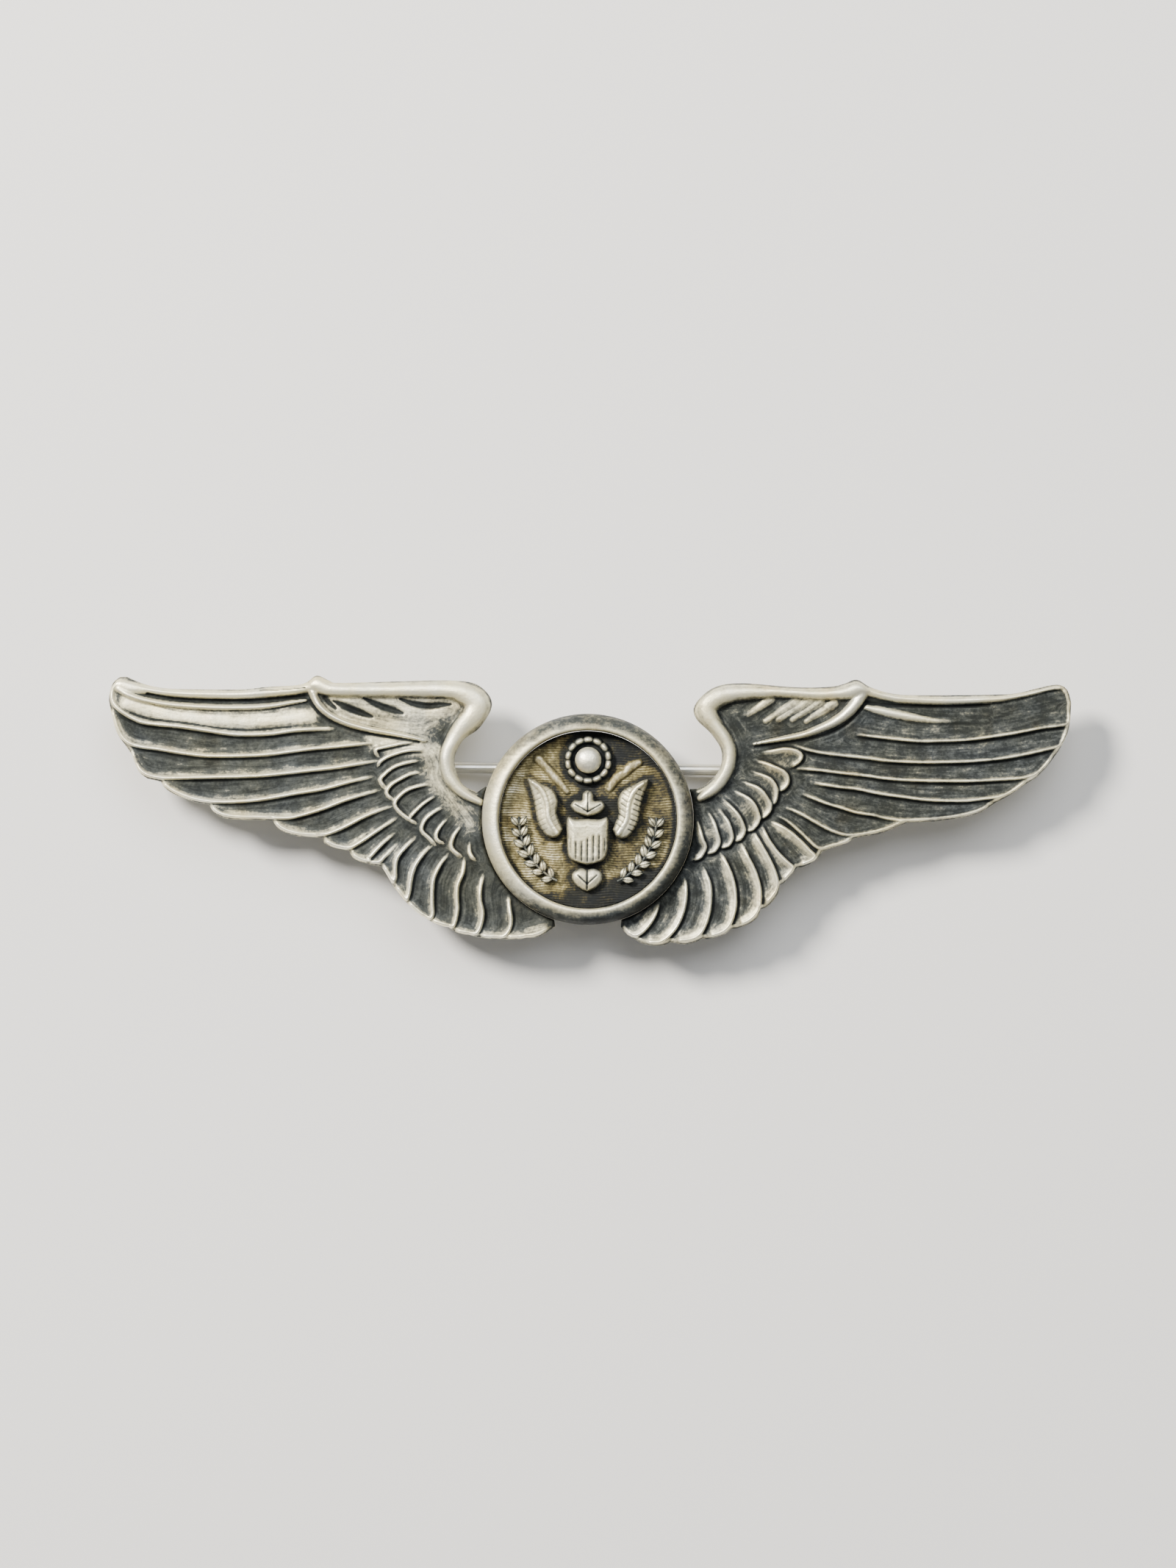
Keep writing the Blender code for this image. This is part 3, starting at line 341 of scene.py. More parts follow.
def smooth_line(points, spacing=0.25):
    """A smooth curve through the points; any third value is carried along."""
    given = np.array(points, float)
    padded = np.vstack([given[:1], given, given[-1:]])
    line = []
    for a, b, c, d in zip(padded, padded[1:], padded[2:], padded[3:]):
        steps = max(1, int(round(math.dist(b[:2], c[:2]) / spacing)))
        t = np.arange(steps)[:, None] / steps
        line.append(b + 0.5 * t * (c - a + t * (2 * a - 5 * b + 4 * c - d + t * (3 * (b - c) + d - a))))
    return np.vstack([*line, given[-1:]])


def half_width(line, along):
    """The line's half width, its third value, at each distance along it."""
    travelled = np.concatenate([[0.0], np.cumsum(np.hypot(*np.diff(line[:, :2], axis=0).T))])
    return np.interp(along, travelled, line[:, 2])


def arc(radius, start_deg, end_deg, steps):
    """Points on an arc about the centre, from one angle to another."""
    angles = np.radians(np.linspace(start_deg, end_deg, steps + 1))
    return np.column_stack([radius * np.cos(angles), radius * np.sin(angles)])


class Die:
    """The face of a striking die: heights on a grid, with how bright each place is: mostly how far it is
    rubbed, and in places painted light and shade.
    """

    def __init__(self, outline, pitch, field, rubbed=0.0):
        self.outline = np.array(outline, float)
        pitch_x, pitch_y = pitch if isinstance(pitch, tuple) else (pitch, pitch)
        low, high = self.outline.min(0), self.outline.max(0)
        self.xs = np.arange(low[0] - pitch_x, high[0] + 2 * pitch_x, pitch_x)
        self.ys = np.arange(low[1] - pitch_y, high[1] + 2 * pitch_y, pitch_y)
        self.x, self.y = np.meshgrid(self.xs, self.ys)
        self.field = np.full(self.x.shape, float(field))
        self.height = self.field.copy()
        self.polish = np.full(self.x.shape, float(rubbed))
        self.nearest = np.full(self.x.shape, 99.0)
        self.grain = np.stack([self.x, self.y, np.zeros(self.x.shape)], -1)
        self.lines = 0

    def beside(self, line, reach):
        """Near a line: the block of the grid, how far left of it, and how far along it."""
        low, high = line.min(0) - reach, line.max(0) + reach
        block = (slice(*np.searchsorted(self.ys, [low[1], high[1]])),
                 slice(*np.searchsorted(self.xs, [low[0], high[0]])))
        x, y = self.x[block], self.y[block]
        best = np.full(x.shape, 1e9)
        left = np.ones(x.shape)
        along = np.zeros(x.shape)
        travelled = 0.0
        for (ax, ay), (bx, by) in zip(line, line[1:]):
            dx, dy = bx - ax, by - ay
            length = math.hypot(dx, dy)
            part = np.clip(((x - ax) * dx + (y - ay) * dy) / length ** 2, 0.0, 1.0)
            gap = np.hypot(x - ax - part * dx, y - ay - part * dy)
            closer = gap < best
            best[closer] = gap[closer]
            left[closer] = np.where(dx * (y - ay) - dy * (x - ax) < 0.0, -1.0, 1.0)[closer]
            along[closer] = (travelled + part * length)[closer]
            travelled += length
        self.comb(block, best, best * left, along)
        return block, best * left, along, travelled

    def comb(self, block, gap, across, along):
        """Streaks of wear follow the nearest line."""
        self.lines += 1
        closer = gap < self.nearest[block]
        self.nearest[block][closer] = gap[closer]
        flow = np.stack([along, across, np.full(gap.shape, self.lines * 3.7)], -1)
        self.grain[block][closer] = flow[closer]

    def swell(self, points, reach, rise, polish=0.0):
        """Lift a broad soft band."""
        block, across, _, _ = self.beside(smooth_line(points, 0.5)[:, :2], reach)
        bump = dome(across / reach)
        self.field[block] += rise * bump
        self.height[block] += rise * bump
        self.polish[block] = np.maximum(self.polish[block], polish * bump)

    def lip(self, points, rise, body, side=1, shelf=0.62, drop=0.2, root=2.5, wear=1.0, top=1.0):
        """A feather's proud edge: a rounded crest, the body's slope on one side, a drop on the other."""
        line = smooth_line(points)
        block, across, along, length = self.beside(line, body)
        across = across * side
        fade = ramp(along / 0.4 + 0.5) * (0.3 + 0.7 * ramp((length - along) / root))
        fade *= ramp((length - along) / 0.35)
        slope = shelf * np.clip(1.0 - across / body, 0.0, 1.0) ** 1.7
        fall = ramp(1.0 + across / drop)
        crest = np.where(across < 0.0, fall, np.maximum(dome(across / LIP_ROUND), slope))
        bright = np.where(across < 0.0, fall, np.maximum(dome(across / LIP_ROUND), wear * slope)) * top
        # Each drop's foot is cut a little and painted dark: this is partly oxide held in the undercut and
        # partly painted shade under the step.
        foot = np.exp(-((across + drop) / 0.11) ** 2) * fade
        raised = self.field[block] + rise * crest * fade
        self.height[block] = np.maximum(self.height[block], raised) - 0.07 * foot
        self.polish[block] = np.maximum(self.polish[block], bright * (0.35 + 0.65 * fade)) * (1 - 0.8 * foot)

    def bead(self, points, rise, shine=1.0, dies_out=0.0):
        """A rounded rim whose half width is each point's third value, and which may die out at its end."""
        line = smooth_line(points)
        block, across, along, length = self.beside(line[:, :2], line[:, 2].max() + 0.1)
        half = half_width(line, along)
        round_top = np.sqrt(np.clip(1.0 - (across / half) ** 2, 0.0, 1.0))
        if dies_out:
            round_top = round_top * ramp((length - along) / dies_out)
        level = self.field[block] + rise * round_top * (half / line[:, 2].max()) ** 0.35
        self.height[block] = np.maximum(self.height[block], np.where(round_top > 0, level, 0.0))
        self.polish[block] = np.maximum(self.polish[block], shine * round_top ** 0.7)

    def groove(self, points, half, depth, dark=0.9):
        """A narrow cut whose floor keeps its oxide. With no half width, each point's third value is it."""
        line = smooth_line(points)
        wide = line[:, 2].max() if half is None else half
        block, across, along, _ = self.beside(line[:, :2], wide)
        if half is None:
            half = half_width(line, along)
        cut = dome(across / half)
        self.height[block] -= depth * cut
        self.polish[block] *= 1.0 - dark * np.clip(1.6 * cut, 0.0, 1.0)

    def measure_edge(self):
        """Distance inside the outline (negative outside) and the nearest place on it."""
        outline = self.outline
        following = np.roll(outline, -1, axis=0)
        within = np.zeros(self.x.shape, bool)
        best = np.full(self.x.shape, 1e9)
        spot = np.zeros(self.x.shape + (2,))
        for (ax, ay), (bx, by) in zip(outline, following):
            dx, dy = bx - ax, by - ay
            part = np.clip(((self.x - ax) * dx + (self.y - ay) * dy) / (dx * dx + dy * dy), 0.0, 1.0)
            near_x, near_y = ax + part * dx, ay + part * dy
            gap = np.hypot(self.x - near_x, self.y - near_y)
            closer = gap < best
            best[closer] = gap[closer]
            spot[closer] = np.stack([near_x, near_y], -1)[closer]
            if ay != by:
                rows = (ay > self.y) != (by > self.y)
                within ^= rows & (self.x < ax + (self.y - ay) * dx / dy)
        return np.where(within, best, -best), spot

    def soften(self, passes=1):
        """Round every sharp line off, as striking and wear do."""
        for _ in range(passes):
            for axis in (0, 1):
                ahead, behind = np.roll(self.height, -1, axis), np.roll(self.height, 1, axis)
                self.height = 0.5 * self.height + 0.25 * (ahead + behind)

    def strike(self, name, finishes, edge_level, back=0.0, edge_round=EDGE_ROUND, edge_shine=0.0,
               side_polish=0.6):
        """Turn the die's face into a solid, flat-backed piece trimmed to the outline.

        A second finish, if given, is for the sides and the back."""
        depth, spot = self.measure_edge()
        rounding = np.sqrt(1.0 - (1.0 - np.clip(depth / edge_round, 0.0, 1.0)) ** 2)
        height = edge_level + (self.height - edge_level) * rounding
        clear_of_ring = ramp((np.hypot(self.x, self.y) - RING_OUTER - 0.3) / 0.4)
        polish = np.maximum(self.polish, edge_shine * clear_of_ring * dome((depth - 0.22) / 0.3))
        keep = cells_inside(depth)
        rows, cols = np.nonzero(keep)
        width = self.x.shape[1]
        corner = rows * width + cols
        quads = np.column_stack([corner, corner + 1, corner + width + 1, corner + width])
        used, faces = np.unique(quads, return_inverse=True)
        faces = faces.reshape(quads.shape)
        place = np.column_stack([self.x.ravel()[used], self.y.ravel()[used], height.ravel()[used]])
        shine = polish.ravel()[used]
        grain = self.grain.reshape(-1, 3)[used]

        ahead = boundary(faces)
        rim = np.array(sorted(ahead))
        place[rim, :2] = spot.reshape(-1, 2)[used[rim]]
        place[rim, 2] = edge_level
        low = {int(vert): len(place) + order for order, vert in enumerate(rim)}
        foot = place[rim].copy()
        foot[:, 2] = back
        sides = [(after, vert, low[vert], low[after]) for vert, after in ahead.items()]
        bottoms = [[low[vert] for vert in loop][::-1] for loop in loops(ahead)]
        verts = np.vstack([place, foot]) * MM
        mesh = bpy.data.meshes.new(name)
        mesh.from_pydata(verts.tolist(), [], faces.tolist() + sides + bottoms)
        shine[rim] = np.maximum(shine[rim], (side_polish - 0.1) * clear_of_ring.ravel()[used[rim]])
        shine = np.concatenate([shine, np.full(len(rim), side_polish)])
        grain = np.vstack([grain, 0.25 * foot])
        mesh.attributes.new("polish", "FLOAT", "POINT").data.foreach_set("value", shine)
        mesh.attributes.new("grain", "FLOAT_VECTOR", "POINT").data.foreach_set("vector", grain.ravel())
        for finish in finishes:
            mesh.materials.append(finish)
        if len(finishes) > 1:
            walls = [0] * len(faces) + [1] * (len(sides) + len(bottoms))
            mesh.polygons.foreach_set("material_index", walls)
        mesh.validate()
        mesh.shade_smooth()
        mesh.set_sharp_from_angle(angle=math.radians(80))
        piece = bpy.data.objects.new(name, mesh)
        bpy.context.scene.collection.objects.link(piece)
        return piece


def cells_inside(depth):
    """The grid's cells inside the outline, without any that hang on by a corner."""
    keep = depth[:-1, :-1] + depth[1:, :-1] + depth[:-1, 1:] + depth[1:, 1:] > 0.0
    for _ in range(3):
        padded = np.pad(keep, 1)
        beside = padded[:-2, 1:-1].astype(int) + padded[2:, 1:-1] + padded[1:-1, :-2] + padded[1:-1, 2:]
        keep = keep & (beside >= 2)
        for flip in (1, -1):
            block = keep[:, ::flip]
            crossed = block[:-1, :-1] & block[1:, 1:] & ~block[:-1, 1:] & ~block[1:, :-1]
            block[:-1, :-1] &= ~crossed
    return keep


def boundary(faces):
    """Each rim vertex with the one that follows it anticlockwise."""
    edges = {}
    for quad in faces.tolist():
        for here, after in zip(quad, quad[1:] + quad[:1]):
            if (after, here) in edges:
                del edges[(after, here)]
            else:
                edges[(here, after)] = True
    return {here: after for here, after in edges}


def loops(ahead):
    """The closed loops that a rim forms."""
    left = dict(ahead)
    found = []
    while left:
        start = next(iter(left))
        loop = [start]
        after = left.pop(start)
        while after != start:
            loop.append(after)
            after = left.pop(after)
        found.append(loop)
    return found


# ---------------------------------------------------------------- materials

WARM = (1.0, 0.98, 0.86)
COOL = (0.95, 0.985, 1.04)
SOOT = (0.007, 0.008, 0.008)
OXIDE = (0.021, 0.0235, 0.0225)
DULL = (0.06, 0.064, 0.06)
GREY = (0.285, 0.268, 0.2)
WORN = (0.69, 0.64, 0.46)
RUBBED = (0.96, 0.9, 0.7)
STAIN = (0.85, 0.68, 0.42)
FIELD_STAIN = (0.8, 0.65, 0.4)


def node(tree, kind, values=None, **settings):
    """A node with its settings, and with values on its inputs."""
    made = tree.nodes.new(kind)
    for key, value in settings.items():
        setattr(made, key, value)
    for key, value in (values or {}).items():
        made.inputs[key].default_value = value
    return made


def math_node(tree, operation, first, second, clamp=False):
    """A sum on two values, each a number or another node's output."""
    made = node(tree, "ShaderNodeMath", operation=operation, use_clamp=clamp)
    for place, value in enumerate((first, second)):
        if isinstance(value, (int, float)):
            made.inputs[place].default_value = value
        else:
            tree.links.new(value, made.inputs[place])
    return made.outputs[0]


def colour_ramp(tree, stops, factor):
    """The colour that a value picks between the stops."""
    made = node(tree, "ShaderNodeValToRGB")
    band = made.color_ramp
    band.elements[0].position, band.elements[1].position = stops[0][0], stops[-1][0]
    band.elements[0].color, band.elements[1].color = (*stops[0][1], 1.0), (*stops[-1][1], 1.0)
    for position, colour in stops[1:-1]:
        band.elements.new(position).color = (*colour, 1.0)
    tree.links.new(factor, made.inputs["Fac"])
    return made.outputs["Color"]


def noise(tree, vector, scale, detail=3.0, roughness=0.55, stretch=None):
    """A noise value on a vector, in millimetres, that may be stretched along its axes."""
    mapping = node(tree, "ShaderNodeMapping")
    mapping.inputs["Scale"].default_value = stretch or (1.0, 1.0, 1.0)
    tree.links.new(vector, mapping.inputs["Vector"])
    made = node(tree, "ShaderNodeTexNoise", {"Scale": scale, "Detail": detail, "Roughness": roughness})
    tree.links.new(mapping.outputs[0], made.inputs["Vector"])
    return made.outputs["Fac"]


def tarnish_group():
    """How bright a place is: its rubbed height, with any painted light and shade that the polish attribute
    holds, broken up by patches and by streaks along the grain.
    """
    group = bpy.data.node_groups.new("tarnish", "ShaderNodeTree")
    for name, kind in (("Rubbed", "Float"), ("Grain", "Vector"), ("Patches", "Float"), ("Streaks", "Float"),
                       ("Lift", "Float")):
        group.interface.new_socket(name, in_out="INPUT", socket_type=f"NodeSocket{kind}")
    for name, kind in (("Bright", "Float"), ("Stain", "Float"), ("Height", "Float"), ("Tone", "Color")):
        group.interface.new_socket(name, in_out="OUTPUT", socket_type=f"NodeSocket{kind}")
    given = group.nodes.new("NodeGroupInput")
    result = group.nodes.new("NodeGroupOutput")
    coords = node(group, "ShaderNodeTexCoord")
    in_mm = node(group, "ShaderNodeVectorMath", operation="SCALE")
    in_mm.inputs["Scale"].default_value = 1.0 / MM
    group.links.new(coords.outputs["Object"], in_mm.inputs[0])
    place = in_mm.outputs[0]

    patches = math_node(group, "SUBTRACT", noise(group, place, 1.1, 6.0, 0.6), 0.5)
    flecks = math_node(group, "SUBTRACT", noise(group, place, 4.5, 4.0, 0.6), 0.5)
    streaks = noise(group, given.outputs["Grain"], 1.0, 5.0, 0.6, (0.5, 3.6, 1.0))
    streaks = math_node(group, "SUBTRACT", streaks, 0.5)
    fine = noise(group, given.outputs["Grain"], 1.0, 2.0, 0.5, (1.2, 14.0, 1.0))
    total = math_node(group, "ADD", given.outputs["Rubbed"], given.outputs["Lift"])
    fleck_part = math_node(group, "MULTIPLY", given.outputs["Patches"], 0.7)
    parts = ((patches, given.outputs["Patches"]), (streaks, given.outputs["Streaks"]), (flecks, fleck_part))
    for part, amount in parts:
        total = math_node(group, "ADD", total, math_node(group, "MULTIPLY", part, amount))
    group.links.new(math_node(group, "ADD", total, 0.0, clamp=True), result.inputs["Bright"])

    stain = math_node(group, "SUBTRACT", noise(group, place, 0.42, 3.0, 0.5), 0.56)
    group.links.new(math_node(group, "MULTIPLY", stain, 5.0, clamp=True), result.inputs["Stain"])
    tone = colour_ramp(group, [(0.36, WARM), (0.64, COOL)], noise(group, place, 0.3, 4.0, 0.6))
    group.links.new(tone, result.inputs["Tone"])
    grit = noise(group, place, 14.0, 3.0, 0.6)
    height = math_node(group, "MULTIPLY", fine, 0.5)
    for part, depth in ((grit, 0.6), (flecks, 1.4), (patches, 3.5)):
        height = math_node(group, "ADD", height, math_node(group, "MULTIPLY", part, depth))
    group.links.new(height, result.inputs["Height"])
    return group


def silver(name, tarnish, stops, stained_by, lift, patches, streaks, rough=(0.72, 0.4), bump=0.45,
           stain_colour=STAIN):
    """Struck silver: dark oxide below, rubbed metal above. It is roughest where it is dark."""
    material = bpy.data.materials.new(name)
    material.use_nodes = True
    tree = material.node_tree
    shader = tree.nodes["Principled BSDF"]
    shader.inputs["Specular IOR Level"].default_value = 0.1
    wear = node(tree, "ShaderNodeGroup")
    wear.node_tree = tarnish
    wear.inputs["Lift"].default_value = lift
    wear.inputs["Patches"].default_value = patches
    wear.inputs["Streaks"].default_value = streaks
    rubbed = node(tree, "ShaderNodeAttribute", attribute_name="polish")
    grain = node(tree, "ShaderNodeAttribute", attribute_name="grain")
    tree.links.new(rubbed.outputs["Fac"], wear.inputs["Rubbed"])
    tree.links.new(grain.outputs["Vector"], wear.inputs["Grain"])
    colour = colour_ramp(tree, stops, wear.outputs["Bright"])
    stained = node(tree, "ShaderNodeMix", data_type="RGBA", blend_type="MULTIPLY")
    stained.inputs["B"].default_value = (*stain_colour, 1.0)
    amount = math_node(tree, "MULTIPLY", wear.outputs["Stain"], stained_by)
    tree.links.new(amount, stained.inputs["Factor"])
    tree.links.new(colour, stained.inputs["A"])
    toned = node(tree, "ShaderNodeMix", {"Factor": 1.0}, data_type="RGBA", blend_type="MULTIPLY")
    tree.links.new(stained.outputs["Result"], toned.inputs["A"])
    tree.links.new(wear.outputs["Tone"], toned.inputs["B"])
    tree.links.new(toned.outputs["Result"], shader.inputs["Base Color"])
    span = node(tree, "ShaderNodeMapRange", {"To Min": rough[0], "To Max": rough[1]})
    tree.links.new(wear.outputs["Bright"], span.inputs["Value"])
    tree.links.new(span.outputs["Result"], shader.inputs["Roughness"])
    metallic = node(tree, "ShaderNodeMapRange", {"To Min": 0.0, "To Max": 0.92})
    tree.links.new(wear.outputs["Bright"], metallic.inputs["Value"])
    tree.links.new(metallic.outputs["Result"], shader.inputs["Metallic"])
    relief = node(tree, "ShaderNodeBump", {"Strength": bump, "Distance": 0.03 * MM})
    tree.links.new(wear.outputs["Height"], relief.inputs["Height"])
    tree.links.new(relief.outputs["Normal"], shader.inputs["Normal"])
    return material


def make_finishes():
    """Every finish, by the name that main gives it out under."""
    tarnish = tarnish_group()
    wing_stops = [(0.0, SOOT), (0.22, OXIDE), (0.36, DULL), (0.52, GREY), (0.68, WORN), (0.95, RUBBED)]
    crisp_stops = [(0.0, SOOT), (0.17, OXIDE), (0.35, DULL), (0.46, GREY), (0.62, WORN), (0.92, RUBBED)]
    field_stops = [
        (0.0, (0.014, 0.015, 0.015)), (0.2, (0.026, 0.026, 0.022)), (0.38, (0.078, 0.065, 0.033)),
        (0.6, (0.185, 0.155, 0.075)), (0.8, (0.36, 0.31, 0.18)), (1.0, (0.62, 0.57, 0.43)),
    ]
    nickel_stops = [(0.0, OXIDE), (0.3, DULL), (0.55, (0.42, 0.4, 0.34)), (1.0, (0.62, 0.58, 0.49))]
    steel_stops = [(0.0, (0.12, 0.12, 0.115)), (0.5, (0.45, 0.44, 0.41)), (1.0, (0.68, 0.66, 0.61))]
    return {
        "left_silver": silver(
            "left_wing_silver", tarnish, crisp_stops, stained_by=0.35, lift=0.02, patches=0.4, streaks=0.55),
        "right_silver": silver(
            "right_wing_silver", tarnish, wing_stops, stained_by=0.5, lift=-0.015, patches=0.48, streaks=0.6),
        "ring_silver": silver(
            "satin_ring_silver", tarnish, wing_stops, stained_by=0.5, lift=0.0, patches=0.38, streaks=0.25,
            rough=(0.66, 0.46)),
        "back_silver": silver(
            "back_silver", tarnish, wing_stops, stained_by=0.2, lift=0.0, patches=0.14, streaks=0.1,
            rough=(0.5, 0.34), bump=0.1),
        "crest_silver": silver(
            "crest_silver", tarnish, wing_stops, stained_by=0.5, lift=0.0, patches=0.5, streaks=0.3),
        "toned_field": silver(
            "toned_field", tarnish, field_stops, stained_by=0.4, lift=0.0, patches=1.1, streaks=0.2,
            rough=(0.7, 0.55), bump=0.5, stain_colour=FIELD_STAIN),
        "nickel": silver(
            "nickel_findings", tarnish, nickel_stops, stained_by=0.4, lift=0.1, patches=0.5, streaks=0.2,
            rough=(0.5, 0.32), bump=0.2),
        "steel": silver(
            "pin_wire", tarnish, steel_stops, stained_by=0.2, lift=0.15, patches=0.35, streaks=0.2,
            rough=(0.4, 0.25), bump=0.12),
    }


# ---------------------------------------------------------------- wings

def wing_outline(top, ring_arc, feather_ends):
    """The wing's edge: along the top, round the ring, and out over the feathers' ends."""
    parts = [smooth_line(top, 0.3), ring_arc]
    parts += [smooth_line(stretch, 0.3) for stretch in feather_ends]
    return np.vstack(parts)


def make_left_wing(*finishes):
    """The wing on the -X side: crisp feathers, and a panel with three slots over its arm."""
    outline = wing_outline(LEFT_TOP, arc(RING_OUTER + 0.05, 162, 252, 60), LEFT_FEATHER_ENDS)
    die = Die(outline, WING_PITCH, FEATHER_FIELD, 0.2)
    die.swell([(-36.5, 8.9), (-33.0, 8.05), (-29.0, 7.65), (-25.0, 7.7), (-22.0, 8.0)], 1.5, 0.3, 0.64)
    die.swell([(-19.8, 9.2), (-16.0, 8.8), (-13.0, 8.5), (-11.0, 8.6)], 2.7, 0.26, 0.52)
    die.swell([(-13.0, 6.0), (-12.2, 4.4), (-12.0, 3.0), (-10.6, 1.2), (-9.3, -0.4)], 2.5, 0.22, 0.44)
    die.swell([(-19.6, 8.1), (-16.5, 7.5), (-13.5, 7.1), (-12.2, 7.6)], 1.7, 0.06, 0.5)
    die.swell([(-17.0, 6.0), (-14.8, 5.8), (-12.4, 5.3)], 1.9, 0.1, 0.54)
    die.swell([(-4.7, -8.9), (-3.3, -8.5)], 0.9, 0.12, 0.45)
    for line in LEFT_LIPS[:8]:
        die.lip(line, LIP_RISE, 1.6, drop=0.23, wear=0.92)
    for line in LEFT_LIPS[8:]:
        die.lip(line, LIP_RISE, 1.6, drop=0.23, root=1.6, wear=0.9)
    for line in LEFT_COVERTS:
        die.lip(line, 0.42, 0.9, root=1.4, drop=0.14, wear=0.8)
    for line in LEFT_LEADING:
        die.bead(line, 0.55, 0.82)
    die.groove(LEFT_FACE_LINES[0], 0.1, 0.1, 0.75)
    die.groove(LEFT_FACE_LINES[1], 0.09, 0.035, 0.25)
    die.groove(LEFT_LEADING_CUTS[0], 0.17, 0.22)
    die.groove(LEFT_LEADING_CUTS[1], 0.09, 0.1)
    die.bead(LEFT_PANEL_RIDGE, 0.62)
    die.groove(LEFT_PANEL_CUT, 0.16, 0.16)
    die.groove(LEFT_PANEL_NICK, None, 0.2)
    for slot in LEFT_SLOTS:
        die.groove(slot, None, 0.26, 0.82)
    die.bead(LEFT_ARM, 0.95, 0.8)
    die.soften(2)
    piece = die.strike("left_wing_struck", finishes, EDGE_LEVEL, edge_shine=0.5)
    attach(piece, "badge")
    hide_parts("left_wing")


def make_right_wing(*finishes):
    """The wing on the +X side: longer feathers over shorter ones, and ribs in its panel."""
    outline = wing_outline(RIGHT_TOP, arc(RING_OUTER + 0.05, 17, -71, 60), RIGHT_FEATHER_ENDS)
    die = Die(outline, WING_PITCH, FEATHER_FIELD, 0.28)
    die.swell([(15.9, 5.2), (14.6, 3.6), (13.0, 1.4), (11.0, -0.4), (9.2, -1.2)], 2.0, 0.22, 0.4)
    for line in RIGHT_LONG_LIPS:
        die.lip(line, LIP_RISE, 1.45, side=-1, shelf=0.5, root=1.5, wear=1.2, top=0.76)
    for line in RIGHT_SHORT_LIPS:
        die.lip(line, LIP_RISE, 2.0, shelf=0.8, root=1.2)
    for line in RIGHT_COVERTS:
        die.lip(line, 0.42, 1.2, root=1.6, shelf=0.8, drop=0.16, wear=1.15, top=0.92)
    die.bead(RIGHT_LEADING[0], 0.5, 0.8)
    die.bead(RIGHT_LEADING[1], 0.42, 0.85, 7.0)
    die.groove(RIGHT_LEADING_CUT, 0.16, 0.22)
    die.bead(RIGHT_PANEL_RIDGE, 0.62)
    die.groove(RIGHT_PANEL_CUT, 0.16, 0.16)
    for start, end in RIGHT_PANEL_RIBS:
        die.bead([(*start, 0.24), (*end, 0.46)], 0.24, 0.6)
    die.bead(RIGHT_ARM, 0.95, 0.8)
    die.soften(2)
    piece = die.strike("right_wing_struck", finishes, EDGE_LEVEL, edge_shine=0.75)
    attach(piece, "badge")
    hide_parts("right_wing")


# ---------------------------------------------------------------- medallion

def start_fresh():
    """Leave any edit mode, with nothing selected."""
    if bpy.context.object and bpy.context.object.mode != "OBJECT":
        bpy.ops.object.mode_set(mode="OBJECT")
    bpy.ops.object.select_all(action="DESELECT")


def finish_piece(piece, name, finish, polish, sharp=40.0):
    """Bake the object's place into its mesh, give it its wear, with any painted light, and its finish."""
    piece.name = name
    start_fresh()
    piece.select_set(True)
    bpy.context.view_layer.objects.active = piece
    bpy.ops.object.transform_apply(location=True, rotation=True, scale=True)
    mesh = piece.data
    spots = np.zeros(len(mesh.vertices) * 3)
    mesh.vertices.foreach_get("co", spots)
    spots = spots.reshape(-1, 3) / MM
    shine = polish(spots) if callable(polish) else np.full(len(spots), float(polish))
    mesh.attributes.new("polish", "FLOAT", "POINT").data.foreach_set("value", shine)
    mesh.attributes.new("grain", "FLOAT_VECTOR", "POINT").data.foreach_set("vector", spots.ravel())
    mesh.materials.clear()
    mesh.materials.append(finish)
    mesh.shade_smooth()
    mesh.set_sharp_from_angle(angle=math.radians(sharp))
    return piece


def spin_piece(name, profile, finish, polish, centre=(0.0, 0.0, 0.0), steps=96, sharp=40.0):
    """Turn a closed profile of (radius, height) points about an upright axis."""
    start_fresh()
    bpy.ops.mesh.primitive_circle_add(vertices=len(profile), radius=MM)
    piece = bpy.context.object
    middle = Vector(centre)
    for vert, (radius, level) in zip(piece.data.vertices, profile):
        vert.co = (middle + Vector((radius, 0.0, level))) * MM
    bpy.ops.object.mode_set(mode="EDIT")
    bpy.ops.mesh.select_all(action="SELECT")
    bpy.ops.mesh.spin(steps=steps, angle=2 * math.pi, center=middle * MM, axis=(0.0, 0.0, 1.0))
    bpy.ops.mesh.select_all(action="SELECT")
    bpy.ops.mesh.remove_doubles(threshold=0.002 * MM)
    bpy.ops.mesh.delete_loose()
    bpy.ops.mesh.select_all(action="SELECT")
    bpy.ops.mesh.normals_make_consistent(inside=False)
    bpy.ops.object.mode_set(mode="OBJECT")
    return finish_piece(piece, name, finish, polish, sharp)


def seat(piece, node_name, body="badge"):
    """The piece stands for the CAD node and moves with its body."""
    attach(piece, body)
    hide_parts(node_name)


